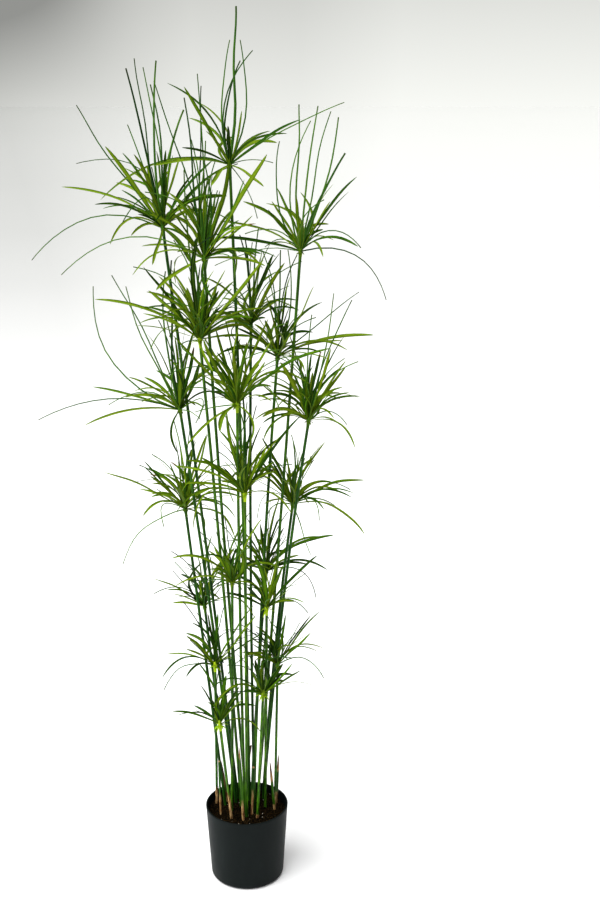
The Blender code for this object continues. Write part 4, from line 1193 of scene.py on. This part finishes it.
@dataclass(frozen=True)
class Collar:
    """The knob that the leaves grow from, as places along the stem and radii, and the scales round it."""

    knob: Sequence[tuple[float, float]] = (
        (-0.016, 0.0031), (-0.011, 0.0032), (-0.007, 0.0036), (-0.003, 0.0042), (0.001, 0.0045),
        (0.005, 0.0040), (0.008, 0.0028), (0.010, 0.0010))
    scales: int = 10
    samples: int = 6
    lift: tuple[float, float] = (-0.55, 0.45)
    length: tuple[float, float] = (0.012, 0.020)
    below: tuple[float, float] = (0.002, 0.006)
    arch: float = 0.003
    half_width: float = 0.0027
    least_half_width: float = 0.0003
    taper: float = 0.6
    inward: float = 0.3
    unevenness: float = 0.3
    small_at_tone: float = 0.55
    tone_to_full_size: float = 0.35
    smallest: float = 0.35
    tone_spread: float = 0.08

    def strands(self, head: "LeafHead") -> list[Strand]:
        """The knob and the scales of a head.

        Args:
            head: The head that they belong to.

        Returns:
            The knob's strand, then one for each scale.
        """
        tone, rng = head.plan.collar_tone, head.rng
        axis = head.stem_axis()
        along, radii = np.array(self.knob).T
        made = [Strand.rounded(head.centre + np.outer(along, axis), radii, tone, np.zeros(len(radii)))]
        share = np.linspace(0.0, 1.0, self.samples)
        widths = self.half_width * (1 - share) ** self.taper + self.least_half_width
        grown = np.clip((tone - self.small_at_tone) / self.tone_to_full_size, self.smallest, 1.0)
        for turn in turns_round(rng, self.scales, self.unevenness):
            outward = outward_at(turn)
            lift = rng.uniform(*self.lift)
            reach = rng.uniform(*self.length) * grown
            start = head.centre - axis * rng.uniform(*self.below)
            tip = start + (outward + UP * lift) * reach
            middle = (start + tip) / 2 + UP * self.arch
            facing = np.tile(UP - outward * self.inward, (self.samples, 1))
            made.append(Strand(StrandKind.BLADE, on_curve(start, middle, tip, share), widths, facing,
                               tone + rng.uniform(-self.tone_spread, self.tone_spread),
                               np.zeros(self.samples)))
        return made


@dataclass
class LeafHead:
    """The umbrella of leaves and threads on a stem, with its collar of small scales."""

    number: int
    plan: HeadPlan
    blades: Filling = Filling(20, (0, 66), (7, 20), (5.2, 8.8), (0.04, 0.26))
    rays: Filling = Filling(9, (52, 84), (13, 24), (4.0, 6.0), (0.04, 0.20))
    arcs: Filling = Filling(6, (-25, 35), (13, 22), (3.4, 5.4), (0.18, 0.32))
    threads: Filling = Filling(5, (30, 84), (12, 25), (2.4, 3.2), (0.03, 0.30))
    form: LeafForm = LeafForm()
    tone: LeafTone = LeafTone()
    collar: Collar = Collar()
    axis_from: float = 0.9
    unevenness: float = 0.4
    sideways: float = 0.80
    slimmer_to_viewer: float = 0.55
    depth_leaf_to_viewer: float = 0.7
    tip_match: float = 0.0012
    room_margin: float = 0.004
    shortening: float = 0.92
    shortenings: int = 12
    rng: np.random.Generator = field(init=False)
    centre: np.ndarray = field(init=False)
    size: float = field(init=False)

    def __post_init__(self) -> None:
        """Fix the head's seed, centre and size."""
        self.rng = np.random.default_rng(HEAD_SEED + self.number)
        self.centre = np.array(self.plan.place) * CM
        self.size = LOW_HEAD_SIZE + (1 - LOW_HEAD_SIZE) * self.centre[2] / TOP_HEAD_HEIGHT

    def stem_axis(self) -> np.ndarray:
        """Direction in which the stem comes up to the head's centre."""
        below = Stem(self.number, self.plan).path(np.array((self.axis_from,)))[0]
        return unit(self.centre - below)

    def solid_corners(self) -> np.ndarray:
        """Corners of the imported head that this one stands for."""
        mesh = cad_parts[f"leaf_head_{self.number:02d}"].data
        corners = np.zeros(len(mesh.vertices) * 3, np.float32)
        mesh.vertices.foreach_get("co", corners)
        return corners.reshape(-1, 3).astype(float)

    def depth_of(self, row: Sequence[float], corners: np.ndarray) -> float:
        """How far a leaf's tip stands toward the viewer.

        Args:
            row: The leaf's row of the plan.
            corners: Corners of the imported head.

        Returns:
            The depth at which the solids have this tip, or the plan's own where they lack it.
        """
        depth = row[2] * CM
        tip = as_seen(self.centre, np.array(row[:2]) * CM, depth)
        sight = unit(VIEWER - tip)
        offsets = corners - tip
        nearer = offsets @ sight
        aside = np.linalg.norm(offsets - np.outer(nearer, sight), axis=1)
        best = int(np.argmin(aside))
        return depth + float(nearer[best]) if aside[best] < self.tip_match else depth

    def depth_rows(self) -> list[tuple[float, ...]]:
        """The leaves that point at the viewer and away, turned from head to head."""
        turn = math.sin(self.number * TURN_FROM_HEAD_TO_HEAD) * DEPTH_LEAF_TURN
        rows = []
        for across, rise, toward, arch, width in DEPTH_LEAVES:
            turned = (across + toward * turn, rise, toward * (1 - abs(turn) / 2), arch)
            slim = self.depth_leaf_to_viewer if toward > 0 else 1.0
            rows.append((*(value * self.size for value in turned), width * slim))
        return rows

    def filler_rows(self, filling: Filling) -> list[tuple[float, ...]]:
        """Further leaves all round the head, in the manner of those that the plan lists.

        Args:
            filling: The kind of leaf.

        Returns:
            One row for each leaf, as in the plan.
        """
        full = self.size ** 2 * FULLNESS[self.number - 1]
        rows = []
        for turn in turns_round(self.rng, round(filling.count * full), self.unevenness):
            angle = math.radians(self.rng.uniform(*filling.lift))
            reach = self.rng.uniform(*filling.length) * self.size
            reach *= self.sideways + (1 - self.sideways) * abs(math.sin(turn))
            across = math.cos(turn) * math.cos(angle) * reach
            toward = math.sin(turn) * math.cos(angle) * reach
            arch = self.rng.uniform(*filling.bend) * reach * math.cos(angle)
            slim = 1 - self.slimmer_to_viewer * max(toward / reach, 0.0) ** 2
            width = self.rng.uniform(*filling.width) * self.size * slim
            rows.append((across, math.sin(angle) * reach, toward, arch, width))
        return rows

    def leaf(self, row: Sequence[float], depth: float, tone: float, manner: Manner) -> Strand:
        """One leaf or thread.

        Args:
            row: Its row of the plan.
            depth: How far its tip stands toward the viewer, in metres.
            tone: How light it is, from 0 to 1.
            manner: How it lies.

        Returns:
            The strand.
        """
        form, rng = self.form, self.rng
        across, rise, _, arch, width = row
        spike = rise > form.spike_rise and abs(across) < form.spike_lean * rise and width < form.spike_below
        thread = spike or width < form.thread_below
        flat = np.array((across, rise)) * CM
        above = np.array((-flat[1], flat[0])) if flat[0] >= 0 else np.array((flat[1], -flat[0]))
        middle = flat * 0.5 + unit(above) * arch * CM
        share = np.linspace(0.0, 1.0, form.thread_samples if thread else form.samples)
        along = 1 - (1 - share) ** form.crowding_to_tip
        points = on_curve(self.centre, as_seen(self.centre, middle, depth / 2),
                          as_seen(self.centre, flat, depth), along)
        length = float(np.linalg.norm(points[-1] - points[0]))
        outward = unit(points[-1] - points[0])
        level = np.array((outward[0], outward[1], 0.0))
        wish = UP * form.faces_up - level * form.faces_in + unit(VIEWER - self.centre) * manner.to_viewer
        side = unit(np.cross(outward, wish))
        sway = length * rng.uniform(-form.sway, form.sway) * np.sin(np.pi * along * rng.uniform(*form.waves))
        points = points + np.outer(sway * np.sin(np.pi * along), side)
        roll = rng.normal(0.0, manner.roll) + rng.uniform(-form.twist, form.twist) * (along - form.flat_at)
        facing = np.outer(np.cos(roll), wish) + np.outer(np.sin(roll), side)
        dry = np.zeros(len(share))
        if rng.uniform() < form.dry_leaves:
            dry = np.clip((along - rng.uniform(*form.dry_from)) / form.dry_within, 0.0, 1.0)
        if not thread:
            return Strand(StrandKind.BLADE, points, form.half_widths(width, along), facing, tone, dry)
        stout = max(width, form.spike_least) * form.spike_stoutness * MM if spike else width * MM / 2
        radii = np.maximum(stout * (1.0 - form.thread_taper * along), manner.least_radius)
        return Strand(StrandKind.THREAD, points, radii, facing, tone, dry)

    def tone_of(self, row: Sequence[float]) -> float:
        """How light a leaf is: darker where it stands upright in the middle of the head, and some anyhow;
        lighter by painted light on heads that their own full leaves shade.
        """
        tone = self.tone
        lower = (1 - self.size) ** 3 * tone.darker_if_low
        steep = max(row[1], 0.0) / math.hypot(*row[:3])
        darker = tone.darker if self.rng.uniform() < tone.dark_leaves else 0.0
        # Painted light: each head's own lift in tone makes up for the shade of its full leaves.
        own = tone.usual - lower + PAINTED_LIGHTNESS[self.number - 1] - darker
        own = own - tone.darker_if_steep * steep ** 3 + self.rng.normal(0.0, tone.spread)
        return float(np.clip(own, tone.darkest, tone.lightest))

    def kept_in(self, row: Sequence[float], room: tuple[Vector, Vector]) -> tuple[float, ...]:
        """A filling leaf's row, shortened until its tip is inside the plant's own box.

        Args:
            row: The leaf's row.
            room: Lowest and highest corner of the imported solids.

        Returns:
            The row, with its offsets made smaller where that is needed.
        """
        spare = self.room_margin
        for _ in range(self.shortenings):
            tip = as_seen(self.centre, np.array(row[:2]) * CM, row[2] * CM)
            if all(low - spare < place < high + spare for low, place, high in zip(room[0], tip, room[1])):
                break
            row = (*(value * self.shortening for value in row[:4]), row[4])
        return tuple(row)

    def strands(self, room: tuple[Vector, Vector]) -> list[Strand]:
        """Every strand of the head.

        Args:
            room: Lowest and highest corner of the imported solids.

        Returns:
            The strands.
        """
        corners = self.solid_corners()
        made = []
        for row in (*self.plan.leaves, *self.depth_rows()):
            depth = self.depth_of(row, corners)
            made.append(self.leaf(row, depth, self.tone_of(row), LISTED))
        kinds = (self.blades, self.rays, self.arcs, self.threads)
        for row in [row for kind in kinds for row in self.filler_rows(kind)]:
            row = self.kept_in(row, room)
            made.append(self.leaf(row, row[2] * CM, self.tone_of(row), FILLED_IN))
        return made + self.collar.strands(self)

    def build(self, shop: Workshop) -> None:
        """Build the head as one piece."""
        name = f"papyrus_head_{self.number:02d}"
        shop.show(name, shop.sweep(name, self.strands(shop.room), shop.finishes.leaf), "leaf_green",
                  f"leaf_head_{self.number:02d}")


@dataclass
class Stalk:
    """A stalk that was cut off, or that dried up to a point where it has no width at its top."""

    node: str
    foot: tuple[float, float]
    top: tuple[float, float, float]
    foot_mm: float
    top_mm: float
    tone: float
    dry_foot: float
    dry_top: float
    withered: float = 0.0
    samples: int = 15
    even_up_to: float = 0.93
    near_the_top: tuple[float, ...] = (0.965, 0.985, 1.0)
    pointed_share: float = 0.30
    bluntness: float = 0.6
    least_radius: float = 0.0002
    dry_excess: float = 1.3
    sides: int = 12

    def strand(self) -> Strand:
        """The stalk's path, with its dry foot and its cut or pointed top."""
        share = np.concatenate((np.linspace(0.0, self.even_up_to, self.samples), self.near_the_top))
        foot = np.array((self.foot[0] * CM, self.foot[1] * CM, SOIL_TOP))
        top = np.array(self.top) * CM
        direction = unit(foot - top)
        foot = foot + direction * (SOIL_TOP - PLANTED_TO) / -direction[2]
        points = foot + np.outer(share, top - foot)
        radii = np.full(len(share), self.foot_mm * MM)
        if self.top_mm:
            radii = radii + (self.top_mm - self.foot_mm) * MM * share
        else:
            point = np.clip((1 - share) / self.pointed_share, 0.0, 1.0)
            radii = radii * point ** self.bluntness + self.least_radius
        low = np.clip(self.dry_excess - (points[:, 2] - SOIL_TOP) / (self.dry_foot * CM), 0.0, 1.0)
        high = np.clip(self.dry_excess - (top[2] - points[:, 2]) / (self.dry_top * CM), 0.0, 1.0)
        return Strand.rounded(points, radii, self.tone, np.maximum(low, high * (1 + self.withered)))

    def build(self, shop: Workshop) -> None:
        """Build the stalk as one piece."""
        name = "papyrus_" + self.node
        mesh = shop.sweep(name, [self.strand()], shop.finishes.stem, sides=self.sides)
        shop.show(name, mesh, "dried_tan", self.node)


@dataclass
class Pot:
    """The round tapered pot, thin-walled, with a softened rim and a rounded foot."""

    rim_softness: float = 0.0009
    foot_rounding: float = 0.010
    floor: float = 0.004
    middle_radius: float = 0.030
    corner: float = 0.004
    outside_heights: tuple[float, ...] = (0.03, 0.06, 0.09, 0.12, 0.15, 0.160)
    inside_heights: tuple[float, ...] = (0.150, 0.10, 0.05, 0.012)
    foot_steps: int = 8
    rim_steps: int = 3
    sides: int = 128
    crease: float = 50.0

    def radius(self, height: float) -> float:
        """Outer radius of the tapered side at a height."""
        return POT_FOOT_RADIUS + (POT_RIM_RADIUS - POT_FOOT_RADIUS) * height / POT_HEIGHT

    @staticmethod
    def rounding(middle: float, height: float, radius: float, start: float,
                 steps: int) -> list[tuple[float, float]]:
        """Rings along a quarter of a rounded edge.

        Args:
            middle: How far the edge's own centre is from the pot's axis.
            height: How high that centre is.
            radius: Radius of the rounding.
            start: Angle of the first ring, in degrees above outward.
            steps: Steps from the first ring to the last.

        Returns:
            Radius and height of each ring.
        """
        angles = [math.radians(start + 90 * step / steps) for step in range(steps + 1)]
        return [(middle + radius * math.cos(angle), height + radius * math.sin(angle)) for angle in angles]

    def profile(self) -> list[tuple[float, float]]:
        """Radius and height of each ring, from the middle of the foot round to the inner floor."""
        foot, soft, lip = self.foot_rounding, self.rim_softness, POT_HEIGHT - self.rim_softness
        outer, inner = POT_RIM_RADIUS - soft, POT_RIM_RADIUS - POT_WALL + soft
        centre = self.radius(foot) - foot
        lowest = self.inside_heights[-1]
        return [(self.middle_radius, 0.0), (centre - self.corner, 0.0),
                *self.rounding(centre, foot, foot, -90, self.foot_steps),
                *((self.radius(height), height) for height in self.outside_heights),
                *self.rounding(outer, lip, soft, 0, self.rim_steps),
                *self.rounding(inner, lip, soft, 90, self.rim_steps),
                *((self.radius(height) - POT_WALL, height) for height in self.inside_heights),
                (self.radius(lowest) - POT_WALL - self.corner, self.floor), (self.middle_radius, self.floor)]

    def build(self, shop: Workshop) -> None:
        """Turn the profile round and close both ends."""
        shape = bmesh.new()
        rings = [[shape.verts.new((x, y, height)) for x, y in level_circle(radius, self.sides)]
                 for radius, height in self.profile()]
        for lower, upper in zip(rings, rings[1:]):
            for i in range(self.sides):
                j = (i + 1) % self.sides
                shape.faces.new((lower[i], lower[j], upper[j], upper[i]))
        for ring, height in ((rings[0], 0.0), (rings[-1], self.floor)):
            middle = shape.verts.new((0.0, 0.0, height))
            for i in range(self.sides):
                shape.faces.new((ring[i], ring[(i + 1) % self.sides], middle))
        mesh = mesh_of(shape, "papyrus_pot", shop.finishes.pot, self.crease)
        shop.show("papyrus_pot", mesh, "pot_plastic", "pot")


@dataclass(frozen=True)
class Grains:
    """Loose grains on the soil: how many to the square metre, their seed, and their least and most radius."""

    name: str
    density: float
    seed: int
    smallest: float
    largest: float

    def build(self, shop: Workshop, surface: bpy.types.Mesh, finish: Finish) -> None:
        """Strew the grains as one piece.

        Args:
            shop: The workshop.
            surface: What they lie on.
            finish: Their finish.
        """
        mesh = shop.crumbs.run(self.name, surface, {
            "Density": self.density, "Seed": self.seed, "Smallest": self.smallest, "Largest": self.largest,
            "Finish": finish.material})
        shop.show(self.name, mesh, "potting_soil")


@dataclass
class Soil:
    """The lumpy soil inside the pot, with loose crumbs and a few grains of perlite."""

    edge_radius: float = 0.0838
    flat_radius: float = 0.062
    sunk: float = 0.0012
    lump_height: float = 0.0022
    lumps_to_metre: float = 95.0
    lump_share: float = 0.7
    small_lumps_to_metre: float = 260.0
    small_lump_share: float = 0.35
    small_lumps_from: tuple[float, float, float] = (5.0, 2.0, 1.0)
    edge_drop: float = 0.003
    edge_curve: float = 1.5
    foot_radius: float = 0.0765
    foot_height: float = 0.0046
    rings: int = 34
    sides: int = 110
    crease: float = 60.0
    crumbs: Grains = Grains("soil_crumbs", 52000.0, 7, 0.0006, 0.0021)
    perlite: Grains = Grains("perlite_grains", 1500.0, 3, 0.0008, 0.0017)

    def height(self, x: float, y: float) -> float:
        """Height of the soil at a place: lumps of two sizes, lower round the edge."""
        place = Vector((x, y, 0.0))
        small = noise.noise(place * self.small_lumps_to_metre + Vector(self.small_lumps_from))
        lumps = noise.noise(place * self.lumps_to_metre) * self.lump_share + small * self.small_lump_share
        edge = max(0.0, (math.hypot(x, y) - self.flat_radius) / (self.edge_radius - self.flat_radius))
        return SOIL_TOP - self.sunk + self.lump_height * lumps - self.edge_drop * edge ** self.edge_curve

    def surface(self) -> bpy.types.Mesh:
        """The top of the soil as a disc of faces."""
        shape = bmesh.new()
        middle = shape.verts.new((0.0, 0.0, self.height(0.0, 0.0)))
        rings = [[shape.verts.new((x, y, self.height(x, y)))
                  for x, y in level_circle(self.edge_radius * ring / self.rings, self.sides)]
                 for ring in range(1, self.rings + 1)]
        for i in range(self.sides):
            j = (i + 1) % self.sides
            shape.faces.new((middle, rings[0][i], rings[0][j]))
            for lower, upper in zip(rings, rings[1:]):
                shape.faces.new((lower[i], upper[i], upper[j], lower[j]))
        return mesh_of(shape, "soil_surface")

    def body(self, shop: Workshop) -> bpy.types.Mesh:
        """The surface closed by a wall and a bottom, as a solid plug of soil."""
        shape = bmesh.new()
        shape.from_mesh(self.surface())
        rim = [edge for edge in shape.edges if edge.is_boundary]
        wall = bmesh.ops.extrude_edge_only(shape, edges=rim)["geom"]
        for vertex in (part for part in wall if isinstance(part, bmesh.types.BMVert)):
            scale = self.foot_radius / math.hypot(vertex.co.x, vertex.co.y)
            vertex.co = (vertex.co.x * scale, vertex.co.y * scale, self.foot_height)
        bottom = [edge for edge in shape.edges if edge.is_boundary]
        bmesh.ops.contextual_create(shape, geom=bottom)
        return mesh_of(shape, "papyrus_soil", shop.finishes.soil, self.crease)

    def build(self, shop: Workshop) -> None:
        """Build the soil, its crumbs and its perlite."""
        shop.show("papyrus_soil", self.body(shop), "potting_soil", "soil")
        self.crumbs.build(shop, self.surface(), shop.finishes.soil)
        self.perlite.build(shop, self.surface(), shop.finishes.perlite)


@dataclass(frozen=True)
class StudioLight:
    """A broad, even light: the direction that it comes from, its strength and its width in degrees."""

    name: str
    source: tuple[float, float, float]
    strength: float
    width: float

    def build(self) -> None:
        """Put the light in the scene."""
        data = bpy.data.lights.new(self.name, "SUN")
        data.energy = self.strength
        data.angle = math.radians(self.width)
        light = bpy.data.objects.new(self.name, data)
        light.rotation_euler = Vector(self.source).to_track_quat("Z", "Y").to_euler()
        bpy.context.scene.collection.objects.link(light)


@dataclass
class Studio:
    """Seamless floor, soft light and the camera at the photograph's angle."""

    floor_half: float = 120.0
    key: StudioLight = StudioLight("key", (-0.82, -0.76, 1.15), 3.9, 78.0)
    top: StudioLight = StudioLight("top", (0.20, 0.25, 1.0), 0.75, 50.0)
    sky_strength: float = 0.22
    backdrop_left: Sequence[float] = (GREYS_FROM, -0.08, 0.455, 0.69)
    backdrop_right: Sequence[float] = (0.0, GREYS_TO, 0.0, 0.08)
    backdrop_shade_fall: Sequence[float] = (-0.20, -0.11, 4.35, 2.1)
    backdrop_tint: Colour = (1.0, 1.01, 0.97)
    darkest_backdrop: float = 0.275
    farthest_seen: float = 400.0

    def build(self, shop: Workshop) -> None:
        """Build the whole stage."""
        self.build_floor(shop)
        self.key.build()
        self.top.build()
        self.build_sky()
        self.build_camera()

    def build_floor(self, shop: Workshop) -> None:
        """The pale floor that the pot stands on."""
        half = self.floor_half
        mesh = bpy.data.meshes.new("studio_floor")
        mesh.from_pydata([(-half, -half, 0.0), (half, -half, 0.0), (half, half, 0.0), (-half, half, 0.0)], [],
                         [(0, 1, 2, 3)])
        mesh.materials.append(shop.finishes.floor.material)
        floor = bpy.data.objects.new("studio_floor", mesh)
        bpy.context.scene.collection.objects.link(floor)
        floor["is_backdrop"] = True

    def build_sky(self) -> None:
        """The light that comes evenly from all round, and the pale grey backdrop above the floor."""
        world = bpy.data.worlds.new("studio_air")
        world.use_nodes = True
        board = NodeBoard(world.node_tree)
        light = board.tree.nodes["Background"]
        board.put(light.inputs["Strength"], self.sky_strength)
        board.put(light.inputs["Color"], (1.0, 1.0, 1.0, 1.0))
        backdrop = board.add("ShaderNodeBackground", {"Color": self.backdrop_colour(board)})
        seen = board.add("ShaderNodeLightPath").outputs["Is Camera Ray"]
        mixed = board.add("ShaderNodeMixShader", {0: seen, 1: light.outputs[0], 2: backdrop.outputs[0]})
        board.put(board.tree.nodes["World Output"].inputs[0], mixed.outputs[0])
        bpy.context.scene.world = world
        bpy.context.scene.view_settings.view_transform = "Standard"
        bpy.context.scene.view_settings.look = "Medium High Contrast"

    def backdrop_colour(self, board: NodeBoard) -> Socket:
        """Grey as the far floor at the horizon, with painted shade that is darker higher up and toward the
        left.

        Args:
            board: The world's nodes.

        Returns:
            The colour's socket.
        """
        direction = board.add("ShaderNodeTexCoord").outputs["Generated"]
        axes = board.add("ShaderNodeSeparateXYZ", {0: direction}).outputs
        left = board.span(axes["X"], *self.backdrop_left)
        right = board.span(axes["X"], *self.backdrop_right)
        # Painted shade: the backdrop darkens higher up, most toward the left.
        fall = board.math("MULTIPLY", axes["Z"], board.span(axes["X"], *self.backdrop_shade_fall, "SMOOTHSTEP"))
        grey = board.math("SUBTRACT", board.math("ADD", left, right), fall)
        grey = board.math("MAXIMUM", grey, self.darkest_backdrop)
        return board.ramp(grey, ((0.0, (0.0, 0.0, 0.0)), (1.0, self.backdrop_tint)))

    def build_camera(self) -> None:
        """The camera, where the photograph was taken from."""
        data = bpy.data.cameras.new("camera")
        data.lens = LENS_MM
        data.sensor_width = SENSOR_MM
        data.clip_end = self.farthest_seen
        camera = bpy.data.objects.new("camera", data)
        camera.location = VIEWER
        camera.rotation_euler = (math.pi / 2 - VIEW_PITCH, 0.0, 0.0)
        bpy.context.scene.collection.objects.link(camera)
        bpy.context.scene.camera = camera


STEM_FEET: dict[int, dict[str, float | Sheath]] = {
    18: dict(foot_radius=0.0027, sheath=Sheath(0.050), dry_height=0.060),
    19: dict(foot_radius=0.0027, sheath=Sheath(0.060), dry_height=0.065),
    20: dict(dry_height=0.012),
    21: dict(foot_radius=0.0027, sheath=Sheath(0.075), dry_height=0.070),
}

STALKS = (
    Stalk("cut_stalk_left", (-5.6, -2.2), (-5.8, -1.8, 27.8), 2.4, 2.2, 0.40, 6.0, 0.25),
    Stalk("cut_stalk_middle", (1.2, -2.1), (1.6, -2.1, 26.6), 2.8, 2.6, 0.25, 6.5, 0.25),
    Stalk("dried_stalk_left", (-4.6, 3.2), (-5.7, 3.2, 25.1), 3.0, 0, 0.30, 3.0, 6.0, 1.0),
    Stalk("dried_stalk_front", (-0.6, -4.6), (-1.3, -4.6, 32.7), 2.9, 0, 0.50, 5.0, 3.0),
    Stalk("dried_stalk_back", (-0.9, 5.0), (0.8, 5.4, 27.6), 2.8, 1.8, 0.30, 4.0, 3.0, 0.8),
    Stalk("dried_stalk_right", (6.0, -0.1), (5.1, -0.4, 27.0), 2.6, 0, 0.55, 1.5, 5.0, 1.0),
    Stalk("dried_stalk_far_right", (6.4, 2.6), (6.9, 2.7, 26.8), 2.6, 0, 0.35, 4.0, 4.0, 0.6),
)


def main() -> None:
    """Build the plant and its studio."""
    logging.basicConfig(level=logging.INFO, format="%(name)s %(message)s")
    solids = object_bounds()
    shop = Workshop(solids)
    Studio().build(shop)
    Pot().build(shop)
    Soil().build(shop)
    for number, plan in enumerate(PLANS, start=1):
        Stem(number, plan, **STEM_FEET.get(number, {})).build(shop)
        LeafHead(number, plan).build(shop)
    for stalk in STALKS:
        stalk.build(shop)


if __name__ == "__main__":
    main()
